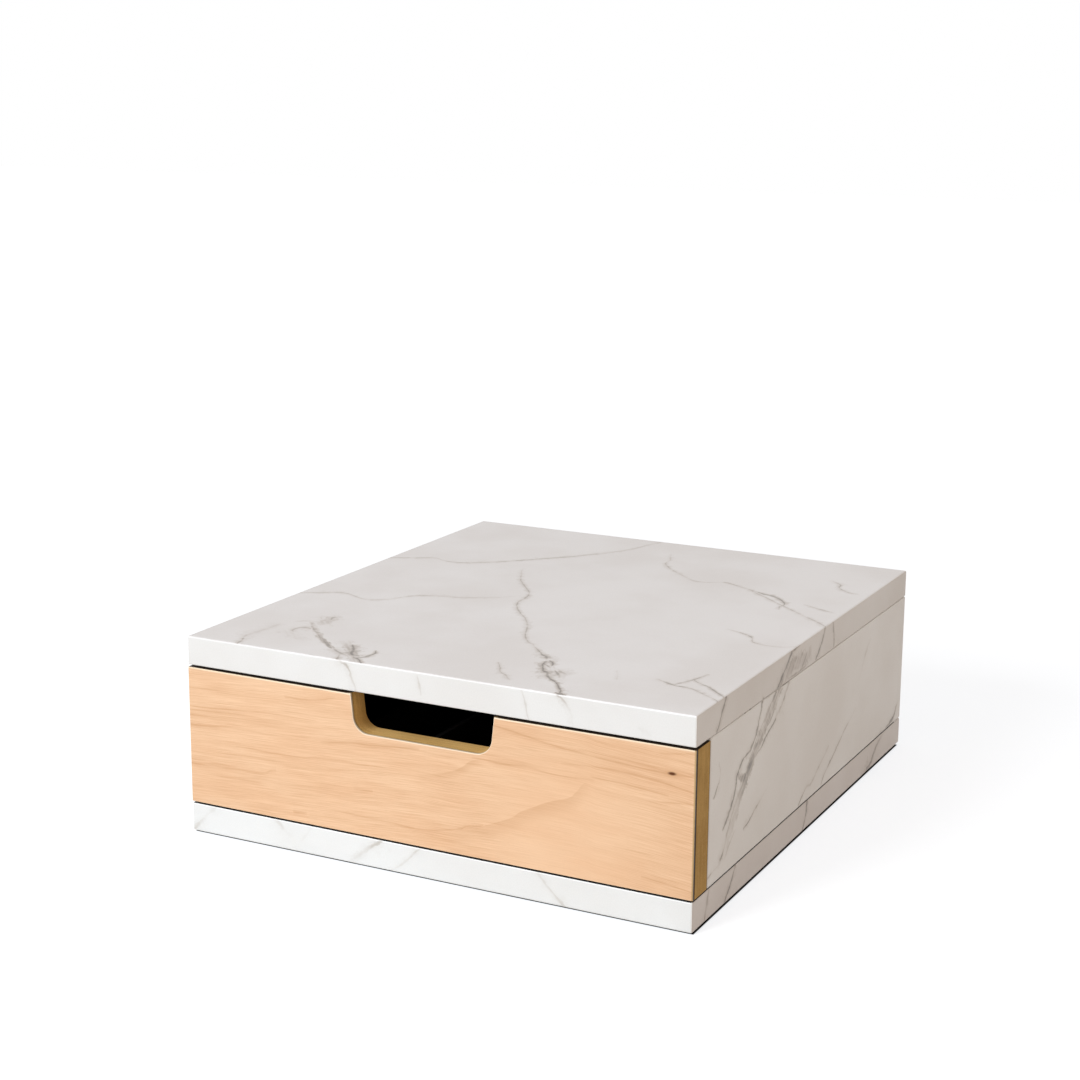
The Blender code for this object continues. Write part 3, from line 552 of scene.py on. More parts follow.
def cut_edge(place, across=1):
    """The colour, roughness and height of bare fibreboard, pressed across one axis."""
    layers = [1 if across in (axis, None) else LAYER_STRETCH for axis in range(3)]
    return bare_fibre(place, CORE_LIGHT, CORE_DARK, layers)


def true_normal(place):
    """The three parts of the face's own normal."""
    return make("NewGeometry", output="True Normal", tree=place.tree).axes()


def finish_surface(colour, roughness, height, depth, specular=0.5, **sockets):
    """Links a colour, a roughness and a bump of a depth in metres to the shader."""
    bump = make("Bump", {"Strength": 1.0, "Distance": depth, "Height": height})
    inputs = {"Base Color": colour, "Roughness": roughness, "Normal": bump}
    inputs["Specular IOR Level"] = specular
    fill(colour.tree.nodes["Principled BSDF"], {**inputs, **sockets})


def stone_board(name, low, high, inner, faces=()):
    """The stone laminate of a board between two heights in millimetres.

    Each seen face has its veins and a tint of painted light. The face whose normal runs along the inner
    axis and sign is painted black as the shade inside the case, as far out from the middle as the third
    inner value.
    """
    material, place = new_material(name + "_laminate")
    where, normal = place.axes(), true_normal(place)
    seen, veins, tone = [], [], (1, 1, 1)
    for side, shade in faces:
        axis, sign, limit, depth, *drawn = FACES[side]
        face = (normal[axis] * sign > 0.7) * (where[axis] * sign > limit)
        seen.append(face)
        veins.append(face_veins(f"{name}_{side}_veins", low, high, *drawn)(place) * face * depth)
        # The face's tint is painted light: it brightens or darkens the face as the lamps would
        tone = mix(face, tone, shade, "MULTIPLY")
    loose = reduce(Shade.most, seen).ramp(0, 1, 1.0, 0.0) if seen else 1.0
    colour, roughness, height = stone_ground(place, STONE_WHITE, loose)
    if veins:
        veins = reduce(Shade.most, veins)
        colour = mix(veins.ramp(0.0, 0.6), colour, VEIN_SMOKE)
        colour = mix(veins.ramp(0.3, 1.0), colour, VEIN_GREY)
    colour = mix(1.0, colour, tone, "MULTIPLY")
    axis, sign, reach = inner
    # The inner faces are painted black as the shade inside the case
    inside = (normal[axis] * sign > 0.9) * (abs(where[0]) < reach)
    inside = inside * (where[1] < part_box("back_panel")[1].y)
    colour = mix(inside, colour, INSIDE_BLACK)
    bare, rough, _ = cut_edge(place, None)
    cut = inside_box(place, *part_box(name), LAMINATE_SKIN)
    roughness = make("Mix", {0: cut, 2: roughness, 3: rough})
    finish_surface(mix(cut, colour, bare), roughness, height, LAMINATE_BUMP)
    nodes[name].material_slots[0].material = material


# A face's tone stands for the light that falls on it in life
base_faces = (("right", (0.85, 0.80, 0.775)), ("front", (1.035, 1.07, 1.08)))
stone_board("base_board", -1, 18, (2, 1.0, 0.2), base_faces)
stone_board("right_side_board", 17, 96, (0, -1.0, 0.2), (("right", (1.01, 1.005, 1.0)),))
stone_board("left_side_board", 17, 96, (0, 1.0, 0.2))
top_faces = (
    ("right", (0.885, 0.855, 0.83)), ("front", (0.99, 1, 0.995)), ("top", (1.055, 1.045, 1.06))
)
stone_board("top_board", 94, 114, (2, -1.0, 0.1315), top_faces)

# ---------------------------------------------------------------- back panel
# A 6 mm fibreboard panel in grooves of all four boards, white outside, and painted black
# inside as the shade within the case.
# Its edges are broken with sandpaper so that it slides into the grooves.
PANEL_EDGE = 0.0004
EDGE_STEPS = 3
PANEL_WHITE = (0.76, 0.75, 0.735)


def rounded_outline(low, high, radius):
    """The outline in X and Z of a box with rounded corners, turning from X to Z.

    Each corner is an arc: its centre, plus the radius times the cosine and the sine of an
    angle that runs through a quarter turn.
    """
    right, left, top, foot = high.x - radius, low.x + radius, high.z - radius, low.z + radius
    centres = np.array(((right, top), (left, top), (left, foot), (right, foot)))
    turn = np.linspace(0, math.pi / 2, EDGE_STEPS + 1) + np.arange(4)[:, None] * math.pi / 2
    arcs = radius * np.stack((np.cos(turn), np.sin(turn)), -1)
    return (centres[:, None] + arcs).reshape(-1, 2)


def edge_ways(outline):
    """The unit vector of each edge of an outline, from its point to the next."""
    edges = np.roll(outline, -1, 0) - outline
    return edges / np.linalg.norm(edges, axis=1, keepdims=True)


def inset(outline, distance):
    """An outline moved inwards, each point along the mitre of its two edges.

    It moves by the distance times the sum of their normals, over one plus the normals'
    product.
    """
    ways = edge_ways(outline)
    after = np.c_[-ways[:, 1], ways[:, 0]]
    before = np.roll(after, 1, 0)
    together = 1 + (before * after).sum(1, keepdims=True)
    return outline + distance * (before + after) / together


def eased(outline, y, arris, sign, steps=EDGE_STEPS):
    """Rings of (outline, y) round an eased edge, a quarter circle from face to side.

    Each ring is inset by the arris times one less the sine of its angle, and lies back
    from the face by the arris times one less the cosine.
    """
    return [
        (inset(outline, arris * (1 - math.sin(a))), np.ravel(y + sign * arris * (1 - math.cos(a))))
        for a in np.linspace(0, math.pi / 2, steps + 1)
    ]


def skin(count, rings):
    """The faces of a body through rings of so many points, closed at both ends."""
    k = np.arange(count)
    after = (k + 1) % count
    starts = count * np.arange(rings)
    sides = [np.c_[a + k, b + k, b + after, a + after] for a, b in zip(starts, starts[1:])]
    return [k.tolist(), *np.concatenate(sides).tolist(), (starts[-1] + k[::-1]).tolist()]


def plate(name, rings, material):
    """A solid through rings of (outline, y), front to back, closed by a face at each end."""
    count = len(rings[0][0])
    rings = [np.c_[ring[:, 0], np.broadcast_to(y, count), ring[:, 1]] for ring, y in rings]
    return mesh_piece(name, rings, skin(count, len(rings)), material)


def fit(piece, body, slot, node=None):
    """Fixes a piece to its body and hides the solid whose place it takes. The slot is not used."""
    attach(piece, body)
    if node:
        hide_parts(node)


def eased_plate(name, node, body, slot, radius, arris, material):
    """A board in the place of a solid, with its long edges rounded and its ends eased."""
    low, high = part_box(node)
    outline = rounded_outline(low, high, radius)
    rings = eased(outline, low.y, arris, 1.0) + eased(outline, high.y, arris, -1.0)[::-1]
    fit(plate(name, rings, material), body, slot, node)


panel_material, place = new_material("back_panel_faces")
normal = true_normal(place)
white, roughness, height = stone_ground(place, PANEL_WHITE, 0.0)
colour = mix(abs(normal[1]) > 0.9, cut_edge(place)[0], white)
# The inner face is painted black as the shade inside the case
colour = mix(normal[1] < -0.9, colour, INSIDE_BLACK)
finish_surface(colour, roughness, height, LAMINATE_BUMP)

eased_plate(
    "back_panel_board", "back_panel", "case", "white_panel", PANEL_EDGE, PANEL_EDGE, panel_material
)

# ---------------------------------------------------------------- pads
# Four self-adhesive discs of grey wool felt under the corners of the base. Their rims
# are pressed a little rounder by the weight, and stray fibres roughen them.
PAD_STEPS = 48
PAD_WAVES = (7, 11, 19)
PAD_WAVE_DEPTH = 0.00006
# Each ring's share of the radius, and its share of the way down
PAD_RINGS = (
    (0.9, 0.0), (0.965, 0.0), (0.985, 0.1), (1.0, 0.4), (1.0, 0.7), (0.985, 0.92), (0.96, 1.0)
)
FELT = (0.085, 0.080, 0.075)
FELT_FIBRE = (0.17, 0.16, 0.15)
FELT_BUMP = 0.0002


def full_turn(steps):
    """Even angles all the way round."""
    return np.linspace(0, 2 * math.pi, steps, endpoint=False)


def lathe(rings, head, direction, steps):
    """The points and faces of a body turned about an axis through head.

    A ring is (radius, height), each one value or one for each step. Height zero is at
    head, and falling heights run along direction. Across it a point lies at the radius
    times the cosine and the sine of its angle.
    """
    axis = -Vector(direction).normalized()
    first = axis.orthogonal().normalized()
    first, second, axis = (np.array(v) for v in (first, axis.cross(first), axis))
    spread = [[np.broadcast_to(value, steps) for value in ring] for ring in rings]
    radius, height = np.moveaxis(np.array(spread), 1, 0)[..., None]
    angle = full_turn(steps)[:, None]
    around = np.cos(angle) * first + np.sin(angle) * second
    points = (np.array(head) + radius * around + height * axis).reshape(-1, 3)
    return points, skin(steps, len(rings))


def turned(name, node, body, slot, direction, steps, shape, material):
    """A turned piece in the place of a solid, with its head at the near end.

    The shape makes rings from the solid's radius and length.
    """
    low, high = (np.array(corner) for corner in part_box(node))
    axis = int(np.abs(direction).argmax())
    head = (low + high) / 2
    head[axis] = (low if direction[axis] > 0 else high)[axis]
    rings = shape((high - low)[(axis + 1) % 3] / 2, (high - low)[axis])
    piece = mesh_piece(name, *lathe(rings, head, direction, steps), material)
    fit(piece, body, slot, node)


def turned_at_corners(name, node, *more):
    """Four turned pieces of the case, in the places of four solids."""
    for end in ("front", "rear"):
        for side in ("left", "right"):
            turned(f"{name}_{end}_{side}", f"{node}_{end}_{side}", "case", *more)


def pad(radius, tall):
    """Rings of a felt disc. Its rim waves inwards by a mean of three cosines."""
    angle = full_turn(PAD_STEPS)
    waves = sum(np.cos(n * angle + n) for n in PAD_WAVES) / len(PAD_WAVES)
    rim = radius - PAD_WAVE_DEPTH * (1 - waves)
    return [(rim * share, -tall * depth) for share, depth in PAD_RINGS]


felt_material, place = new_material("wool_felt")
fibres = place.noise(2600.0, 4.0, 0.75, 1.5)
colour = mix(fibres.ramp(0.4, 0.7), FELT, FELT_FIBRE)
roughness = place.noise(320.0).ramp(0.3, 0.7, 0.85, 1.0)
finish_surface(colour, roughness, fibres, FELT_BUMP, 0.1, **{"Sheen Weight": 0.3})
turned_at_corners("felt", "pad", "pad_felt", (0, 0, -1), PAD_STEPS, pad, felt_material)

# ---------------------------------------------------------------- case screws
# Four long countersunk steel screws with a hexagon recess, driven up through the base
# into the side boards. A coarse rolled thread covers the shank below a plain neck.
HEX_RADIUS = 0.0021
HEX_DEPTH = 0.0026
CASE_HEAD_HEIGHT = 0.0042
CASE_SHANK = 0.0032
CASE_THREAD = (0.0018, 0.0005)
THREAD_RINGS = 6
SCREW_STEPS = 24
POINT_LENGTH = 0.004
SCREW_STEEL = (0.50, 0.48, 0.45)
SCREW_SHADE = (0.30, 0.285, 0.265)
STEEL_BUMP = 0.000008


def thread(radius, top, bottom, pitch, depth, steps):
    """Rings of a threaded shank: a ridge that climbs by the pitch in one turn.

    The radius falls from the ridge by the distance from it along the shank.
    """
    heights = np.arange(-top, -bottom, -pitch / THREAD_RINGS)
    share = np.arange(steps) / steps
    phase = np.abs((heights[:, None] / pitch + share) % 1 - 0.5) * 2
    taper = np.clip((heights - heights[0]) / -pitch, 0, 1)[:, None]
    end = np.clip((heights + bottom) / POINT_LENGTH, 0.15, 1)[:, None]
    return list(zip((radius - depth * (1 - phase * taper)) * end, heights))


def screw(head_radius, length, head_height, shank, pitch_and_depth, recess, recess_depth):
    """Rings of a countersunk screw: its recess, the head's cone, the neck and thread."""
    pitch = pitch_and_depth[0]
    neck = head_height + 2 * pitch
    return [
        (recess * 0.55, -recess_depth),
        (recess * 0.97, -recess_depth * 0.9),
        (recess, -recess_depth * 0.12),
        (recess * 1.04, 0.0),
        (head_radius * 0.97, 0.0),
        (head_radius, -head_height * 0.06),
        (shank, -head_height),
        (shank * 0.92, -head_height * 1.2),
        (shank * 0.92, -neck),
    ] + thread(shank, neck + pitch / 2, length, *pitch_and_depth, len(recess))


def hexagon(radius, steps):
    """The distance from a hexagon's middle to its edge, all the way round.

    It is the inner radius over the cosine of the angle from the nearest flat's middle.
    """
    turn = full_turn(steps) % (math.pi / 3)
    return radius * math.cos(math.pi / 6) / np.cos(turn - math.pi / 6)


def case_screw(radius, length):
    """Rings of a long screw with a hexagon recess."""
    recess = hexagon(HEX_RADIUS, SCREW_STEPS)
    return screw(radius, length, CASE_HEAD_HEIGHT, CASE_SHANK, CASE_THREAD, recess, HEX_DEPTH)


@node_group
def steel_finish(position: "Vector", light: "Color", dark: "Color", stretch: "Vector"):
    """Plated steel: slow blotches of shade, and fine streaks drawn out along one way."""
    streak = position.stretched(stretch).noise(900.0, 3.0, 0.65)
    colour = mix(position.noise(130.0, 3.0, 0.6).ramp(0.35, 0.7), light, dark)
    return {"Color": colour, "Roughness": streak.ramp(0.3, 0.7, 0.24, 0.44), "Height": streak}


def steel(name, light, dark, stretch=(1, 1, 1), depth=STEEL_BUMP):
    """A plated steel, with streaks of a depth that are stretched along one way."""
    material, place = new_material(name)
    finish_surface(*steel_finish(place, light, dark, stretch), depth, Metallic=1.0)
    return material


screw_material = steel("screw_steel", SCREW_STEEL, SCREW_SHADE)
turned_at_corners(
    "long_screw", "case_screw", "screw_steel", (0, 0, 1), SCREW_STEPS, case_screw, screw_material
)

# ---------------------------------------------------------------- dowels
# Four fluted beech dowels with chamfered ends, glued between the sides and the top.
# The flutes, pressed along the grain, let the glue escape.
FLUTES = 12
FLUTE_DEPTH = 0.0003
DOWEL_CHAMFER = 0.001
DOWEL_STEPS = 48
BEECH = (0.62, 0.43, 0.27)
BEECH_DARK = (0.47, 0.30, 0.17)
BEECH_BUMP = 0.00004


def dowel(radius, length):
    """Rings of a dowel: its radius falls and rises again as a cosine over each flute."""
    fluted = radius - FLUTE_DEPTH * (0.5 - 0.5 * np.cos(FLUTES * full_turn(DOWEL_STEPS)))
    end = radius - DOWEL_CHAMFER
    return [(end, 0.0), (fluted, -DOWEL_CHAMFER), (fluted, DOWEL_CHAMFER - length), (end, -length)]


beech_material, place = new_material("beech")
grain = place.stretched((1, 1, 0.06)).noise(1500.0, 3.0, 0.6)
colour = mix(grain.ramp(0.35, 0.7), BEECH, BEECH_DARK)
finish_surface(colour, grain.ramp(0.3, 0.7, 0.55, 0.75), grain, BEECH_BUMP)
turned_at_corners(
    "fluted_dowel", "dowel", "beech_dowel", (0, 0, -1), DOWEL_STEPS, dowel, beech_material
)

# ---------------------------------------------------------------- slide rails
# On either side, three nested rails roll-formed from 1.2 mm zinc-plated strip. Their webs
# are pierced: countersunk holes take the screws, and slots save weight and let glue out.
RAIL_SHEET = 0.0012
RAIL_BEND = 0.0013
BEND_STEPS = 5
SLIDE_WALL = 0.1312
SLIDE_MIDDLE = 0.0443
HOLE_STEPS = 12
HOLE_MARGIN = 0.0006
SCREW_HOLE = (0.0035, 0.0023)
SLOT_RADIUS = 0.0030
ZINC = (0.66, 0.66, 0.65)
ZINC_SHADE = (0.50, 0.505, 0.51)
# Each rail's body, the middle line of its strip as millimetres from the case's wall and
# from the slide's middle, its ends in Y, how far from the wall its holes are sunk, the
# places of its screw holes, and the place and half length of each slot
RAILS = {
    "cabinet": (
        "case",
        ((8.8, 14.6), (8.8, 16.9), (0.6, 16.9), (0.6, -16.9), (8.8, -16.9), (8.8, -14.6)),
        (-0.1447, 0.105),
        0.0012,
        (-0.1097, 0.070),
        ((-0.072, 0.006), (-0.030, 0.010), (0.016, 0.010), (0.091, 0.004)),
    ),
    "middle": (
        "middle_rails",
        ((10.3, 10.2), (10.3, 12.5), (3.8, 12.5), (3.8, -12.5), (10.3, -12.5), (10.3, -10.2)),
        (-0.1447, 0.0987),
        0.0044,
        (),
        ((-0.128, 0.005), (-0.080, 0.012), (-0.023, 0.012), (0.034, 0.012), (0.082, 0.005)),
    ),
    "drawer": (
        "drawer",
        ((6.4, 8.1), (12.1, 8.1), (12.1, -8.1), (6.4, -8.1)),
        (-0.1447, 0.0987),
        0.0115,
        (-0.1097, 0.0637),
        ((-0.075, 0.006), (-0.035, 0.010), (0.012, 0.010), (0.085, 0.003)),
    ),
}


def bent_strip(path, sheet, bend):
    """The outline in X and Z of a strip bent along a path, given from the case's wall.

    Each corner of its middle line is an arc: its centre, less the bend times a normal
    that turns from one stretch's to the next. The outline lies half a sheet to both sides.
    """
    path = np.array(path) / 1000
    ways = np.diff(path, axis=0)
    ways /= np.linalg.norm(ways, axis=1, keepdims=True)
    sides = np.c_[-ways[:, 1], ways[:, 0]]
    points, normals = [path[:1]], [sides[:1]]
    for corner, way, following, side in zip(path[1:-1], ways, ways[1:], sides):
        turn = math.atan2(way[0] * following[1] - way[1] * following[0], way @ following)
        bow = math.copysign(bend, turn)
        centre = corner - way * abs(bow * math.tan(turn / 2)) + side * bow
        angles = turn * np.linspace(0, 1, BEND_STEPS + 1)[:, None]
        normals.append(np.cos(angles) * side + np.sin(angles) * (-side[1], side[0]))
        points.append(centre - normals[-1] * bow)
    points, normals = np.concatenate(points + [path[-1:]]), np.concatenate(normals + [sides[-1:]])
    outline = np.r_[points + normals * sheet / 2, (points - normals * sheet / 2)[::-1]]
    x, z = outline.T
    if (x * np.roll(z, -1) - z * np.roll(x, -1)).sum() > 0:
        x, z = x[::-1], z[::-1]
    return np.c_[SLIDE_WALL - x, SLIDE_MIDDLE + z]


def swept(outline, front, rear, sheet, holes):
    """A strip swept along Y from an outline in X and Z, with holes through it.

    A hole is (near point, y, near radius, far radius, half slot): it starts on the
    outline's edge nearest to the point and goes straight through the sheet. Its rim is
    two half rings, each cut out of one stretch of the swept face.
    """
    count = len(outline)
    stations = [front, rear]
    for _, y, near, far, slot in holes:
        reach = max(near, far) + slot + HOLE_MARGIN
        stations += [y - reach, y, y + reach]
    stations = np.unique(np.round(stations, 7))
    points = [np.c_[outline[:, 0], np.full(count, y), outline[:, 1]] for y in stations]
    filled = count * len(stations)
    middles = (outline + np.roll(outline, -1, 0)) / 2
    ways = edge_ways(outline)
    pierced, rims = set(), []
    turn = np.linspace(-math.pi / 2, math.pi / 2, HOLE_STEPS + 1)
    for place, y, near, far, slot in holes:
        k = np.linalg.norm(middles - place, axis=1).argmin()
        outward = np.array((ways[k, 1], -ways[k, 0]))
        across = (middles - middles[k]) @ ways[k]
        behind = (middles - middles[k]) @ outward
        opposite = np.where(np.abs(behind + sheet) < sheet / 4, np.abs(across), np.inf).argmin()
        loops = []
        for radius, depth in ((near, 0.0), (far, sheet)):
            back = np.c_[-slot - radius * np.cos(turn), radius * np.sin(turn)]
            ahead = back[::-1] * (-1, 1)
            if slot:
                back = np.r_[[(0, -radius)], back, [(0, radius)]]
            else:
                ahead = ahead[1:-1]
            loop = np.r_[back, ahead]
            flat = middles[k] - outward * depth + loop[:, 1:] * ways[k]
            points.append(np.c_[flat[:, 0], y + loop[:, 0], flat[:, 1]])
            loops.append(filled + np.arange(len(loop)))
            filled += len(loop)
        half = HOLE_STEPS + (2 if slot else 0)
        station = int(np.abs(stations - y).argmin())
        for edge, loop in ((k, loops[0]), (opposite, np.roll(loops[1][::-1], half + 1))):
            a, b, c = ((station + step) * count + edge for step in (-1, 0, 1))
            to = (edge + 1) % count - edge
            rims.append((a, b, *loop[: half + 1], b + to, a + to))
            rims.append((b, c, c + to, b + to, *loop[half:], loop[0]))
            pierced |= {a, b}
        near_loop, far_loop = loops
        walls = (near_loop, far_loop, np.roll(far_loop, -1), np.roll(near_loop, -1))
        rims += np.c_[walls].tolist()
    start, *sides, end = skin(count, len(stations))
    sides = [side for side in sides if side[0] not in pierced]
    return np.concatenate(points), [start, *rims, *sides, end]


def pair(name, node, body, slot, points, faces, material):
    """A piece on the right as it is given, and its mirror image on the left."""
    for side, sign in (("right", 1), ("left", -1)):
        mirrored = (points * (sign, 1, 1), [face[::sign] for face in faces])
        piece = mesh_piece(f"{name}_{side}", *mirrored, material)
        fit(piece, body, slot, node and f"{node}_{side}")


zinc_material = steel("zinc_plate", ZINC, ZINC_SHADE, (1, 0.04, 1))
for rail, (body, path, ends, sunk, screw_places, slots) in RAILS.items():
    near = (SLIDE_WALL - sunk, SLIDE_MIDDLE)
    holes = [(near, y, *SCREW_HOLE, 0.0) for y in screw_places]
    holes += [(near, y, SLOT_RADIUS, SLOT_RADIUS, half) for y, half in slots]
    strip = swept(bent_strip(path, RAIL_SHEET, RAIL_BEND), *ends, RAIL_SHEET, holes)
    pair(f"{rail}_strip", f"{rail}_rail", body, "zinc_steel", *strip, zinc_material)

# ---------------------------------------------------------------- ball cages
# Between the rails run cages pressed from thin strip. Each holds two rows of five
# hardened balls in round pockets, so that balls and cage roll at half the rails' travel.
CAGE_SHEET = 0.0008
CAGE_BEND = 0.0010
CAGE_ENDS = (-0.073, 0.027)
BALL_RADIUS = 0.0013
BALL_PLACES = (-0.063, -0.043, -0.023, -0.003, 0.017)
BALL_POLE = 0.06
POCKET_RADIUS = 0.00145
BALL_RINGS = 12
BALL_STEPS = 20
CAGE_STEEL = (0.55, 0.545, 0.53)
CAGE_SHADE = (0.42, 0.415, 0.40)
BALL_STEEL = (0.72, 0.72, 0.72)
BALL_SHADE = (0.62, 0.62, 0.63)
# Where each cage's web and lips lie, in millimetres from the wall, and its half height
CAGES = (("outer", 2.2, 7.6, 15.0), ("inner", 5.4, 9.1, 10.8))

cage_material = steel("cage_strip", CAGE_STEEL, CAGE_SHADE, (1, 0.05, 1))
ball_material = steel("hardened_ball", BALL_STEEL, BALL_SHADE, depth=0.0)
tilt = np.linspace(BALL_POLE, math.pi - BALL_POLE, BALL_RINGS)
rings = [(BALL_RADIUS * math.sin(a), BALL_RADIUS * (math.cos(a) - 1)) for a in tilt]
for cage, web, lip, half in CAGES:
    path = ((lip, half), (web, half), (web, -half), (lip, -half))
    outline = bent_strip(path, CAGE_SHEET, CAGE_BEND)
    flange = outline[np.abs(outline[:, 1] - outline[:, 1].max()) < CAGE_SHEET / 100]
    middle = SLIDE_WALL - (web + lip) / 2000
    holes, points, faces = [], [], []
    for y in BALL_PLACES:
        for sign in (1, -1):
            height = SLIDE_MIDDLE + sign * (half / 1000 + CAGE_SHEET / 2)
            holes.append(((middle, height), y, POCKET_RADIUS, POCKET_RADIUS, 0.0))
            head = (flange[:, 0].mean(), y, SLIDE_MIDDLE + sign * half / 1000 + BALL_RADIUS)
            ball, ball_faces = lathe(rings, head, (0, 0, -1), BALL_STEPS)
            faces += [np.add(face, len(ball) * len(points)).tolist() for face in ball_faces]
            points.append(ball)
    more = (f"{cage}_ball_cages", "cage_steel")
    strip = swept(outline, *CAGE_ENDS, CAGE_SHEET, holes)
    pair(f"{cage}_cage", f"{cage}_ball_cage", *more, *strip, cage_material)
    pair(f"{cage}_balls", None, *more, np.concatenate(points), faces, ball_material)

# ---------------------------------------------------------------- rail buffers
# A block of moulded black rubber sits in the rear end of each cabinet rail, where it
# stops the drawer softly. Its edges are rounded, and it has a faint grey bloom.
BUFFER_RADIUS = 0.0014
RUBBER = (0.028, 0.027, 0.026)
RUBBER_BLOOM = (0.060, 0.058, 0.056)
RUBBER_BUMP = 0.00003

rubber_material, place = new_material("moulded_rubber")
grain = place.noise(2400.0)
colour = mix(place.noise(240.0, 3.0, 0.6).ramp(0.4, 0.75), RUBBER, RUBBER_BLOOM)
finish_surface(colour, grain.ramp(0.3, 0.7, 0.5, 0.7), grain, RUBBER_BUMP)
for side in ("left", "right"):
    names = (f"buffer_block_{side}", f"rail_buffer_{side}", "case", "buffer_rubber")
    eased_plate(*names, BUFFER_RADIUS, BUFFER_RADIUS / 2, rubber_material)

# ---------------------------------------------------------------- drawer box boards
# Front, back and sides of 12 mm fibreboard with satin black faces, glued in rebates.
# Their cut upper and lower edges stay bare, tan and a little fuzzy.
PANEL_BLACK = (0.018, 0.0175, 0.0175)
PANEL_SHEEN = (0.032, 0.031, 0.030)


@node_group
def black_face(position: "Vector"):
    """A satin black laminate with a fine grain and slow worn patches."""
    wear = position.noise(22.0, 3.0, 0.6)
    grain = position.noise(2200.0, 2.0, 0.6)
    colour = mix(wear.ramp(0.35, 0.7), PANEL_BLACK, PANEL_SHEEN)
    return {"Color": colour, "Roughness": wear.ramp(0.3, 0.7, 0.42, 0.56), "Height": grain}


for axis, names in enumerate((("left", "right"), ("front", "back"))):
    material, place = new_material("black_board_" + "xy"[axis])
    faced = abs(true_normal(place)[axis]) > 0.9
    black, satin, height = black_face(place)
    bare, rough, _ = cut_edge(place, axis)
    roughness = make("Mix", {0: faced, 2: rough, 3: satin})
    finish_surface(mix(faced, bare, black), roughness, height, LAMINATE_BUMP)
    for name in names:
        nodes["drawer_box_" + name].material_slots[0].material = material

# ---------------------------------------------------------------- bottom and dividers
# Black-stained hardboard of 3 mm: the bottom slides in a groove round the box, and four
# dividers drop into slots of its front and back. Their edges are sanded round.
HARDBOARD_EDGE = 0.0006
HARDBOARD = (0.018, 0.016, 0.015)
HARDBOARD_FLECK = (0.032, 0.027, 0.024)
HARDBOARD_BUMP = 0.00003

hardboard_material, place = new_material("stained_hardboard")
fleck = place.noise(700.0, 4.0, 0.7, 0.6)
colour = mix(fleck.ramp(0.45, 0.7), HARDBOARD, HARDBOARD_FLECK)
roughness = place.noise(60.0).ramp(0.3, 0.7, 0.45, 0.62)
finish_surface(colour, roughness, fleck, HARDBOARD_BUMP, 0.12)
for node in ["drawer_bottom"] + [f"lane_divider_{i}" for i in range(1, 5)]:
    names = (node + "_sheet", node, "drawer", "thin_fibreboard")
    eased_plate(*names, HARDBOARD_EDGE, HARDBOARD_EDGE / 2, hardboard_material)

# ---------------------------------------------------------------- slide screws
# Short countersunk screws with a cross recess hold the cabinet rails to the case sides
# and the drawer rails to the box. Each sits flush in a countersunk hole of its rail.
# The head's height, the shank's radius, the thread's pitch and depth, the cross's width
RAIL_SCREW = (0.0016, 0.0016, (0.0010, 0.0003), 0.0009)
CROSS_REACH = 0.62
CROSS_DEPTH = 0.8
FINE_STEPS = 32


def cross(length, width, steps):
    """The distance from a cross's middle to its edge, all the way round.

    It is half an arm's width over the sine of the angle from the arm, at most its length.
    """
    turn = np.abs((full_turn(steps) + math.pi / 4) % (math.pi / 2) - math.pi / 4)
    return np.minimum(length, width / 2 / np.maximum(np.sin(turn), width / 2 / length))


def cross_screw(name, node, body, direction, head_height, shank, pitch_and_depth, width):
    """A small countersunk screw with a cross recess, in the place of a solid."""

    def shape(radius, length):
        recess = cross(radius * CROSS_REACH, width, FINE_STEPS)
        sizes = (head_height, shank, pitch_and_depth, recess, head_height * CROSS_DEPTH)
        return screw(radius, length, *sizes)

    turned(name, node, body, "screw_steel", direction, FINE_STEPS, shape, screw_material)


for side, sign in (("left", -1), ("right", 1)):
    for end in ("front", "rear"):
        for rail, body, way in (("cabinet", "case", sign), ("drawer", "drawer", -sign)):
            names = (f"{rail}_screw_{end}_{side}", f"{rail}_rail_screw_{end}_{side}")
            cross_screw(*names, body, (way, 0, 0), *RAIL_SCREW)

# ---------------------------------------------------------------- drawer front core
# The 16 mm fibreboard core of the drawer front. Its ends and the cutout stay bare and are
# sealed with clear lacquer; painted light brightens the cutout's rim and painted shade darkens the rear
# rim.
# The top edge is painted black as the shade of the gap above it, and glue darkens the front rim.
STAIN = (0.030, 0.018, 0.010)
STAIN_SKIN = 0.0004
REAR_SHADE = (0.16, 0.105, 0.05)
REAR_DEPTH = 0.0009
GLUE_SOAK = (0.0003, 0.0013)
CUTOUT_HALF = 0.0418
CUTOUT_MIDDLE = -0.0032
CUTOUT_TONE = 1.85
CUTOUT_FADE = (0.001, 0.003)
CUTOUT_REACH = 0.004
CORE_BUMP = 0.00003

core_low, core_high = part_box("drawer_front_board")
core_material, place = new_material("lacquered_core")
where, normal = place.axes(), true_normal(place)
colour, roughness, height = cut_edge(place)
away = abs(where[0] - CUTOUT_MIDDLE)
# Painted light: the cutout's rim is brightened
tone = away.ramp(*(CUTOUT_HALF + fade for fade in CUTOUT_FADE), CUTOUT_TONE, 1.0)
# Painted shade: the rear rim darkens as the gap behind the front would shade it
rear = where[1].ramp(core_high.y - REAR_DEPTH, core_high.y, 0.0, 0.8) * (normal[1] < 0.5)
colour = mix(rear, colour.scaled(tone), REAR_SHADE)
glued = where[1].ramp(*(core_low.y + soak for soak in GLUE_SOAK), 0.97, 0.0)
glued = glued * away.ramp(CUTOUT_HALF, CUTOUT_HALF + CUTOUT_REACH, 0.3, 1.0)
# Painted shade: the top edge is blackened as the gap above it would shade it
raised = (where[2] > core_high.z - STAIN_SKIN) * (normal[2] > 0.5)
finish_surface(mix(glued.most(raised), colour, STAIN), roughness, height, CORE_BUMP, 0.2)
nodes["drawer_front_board"].material_slots[0].material = core_material

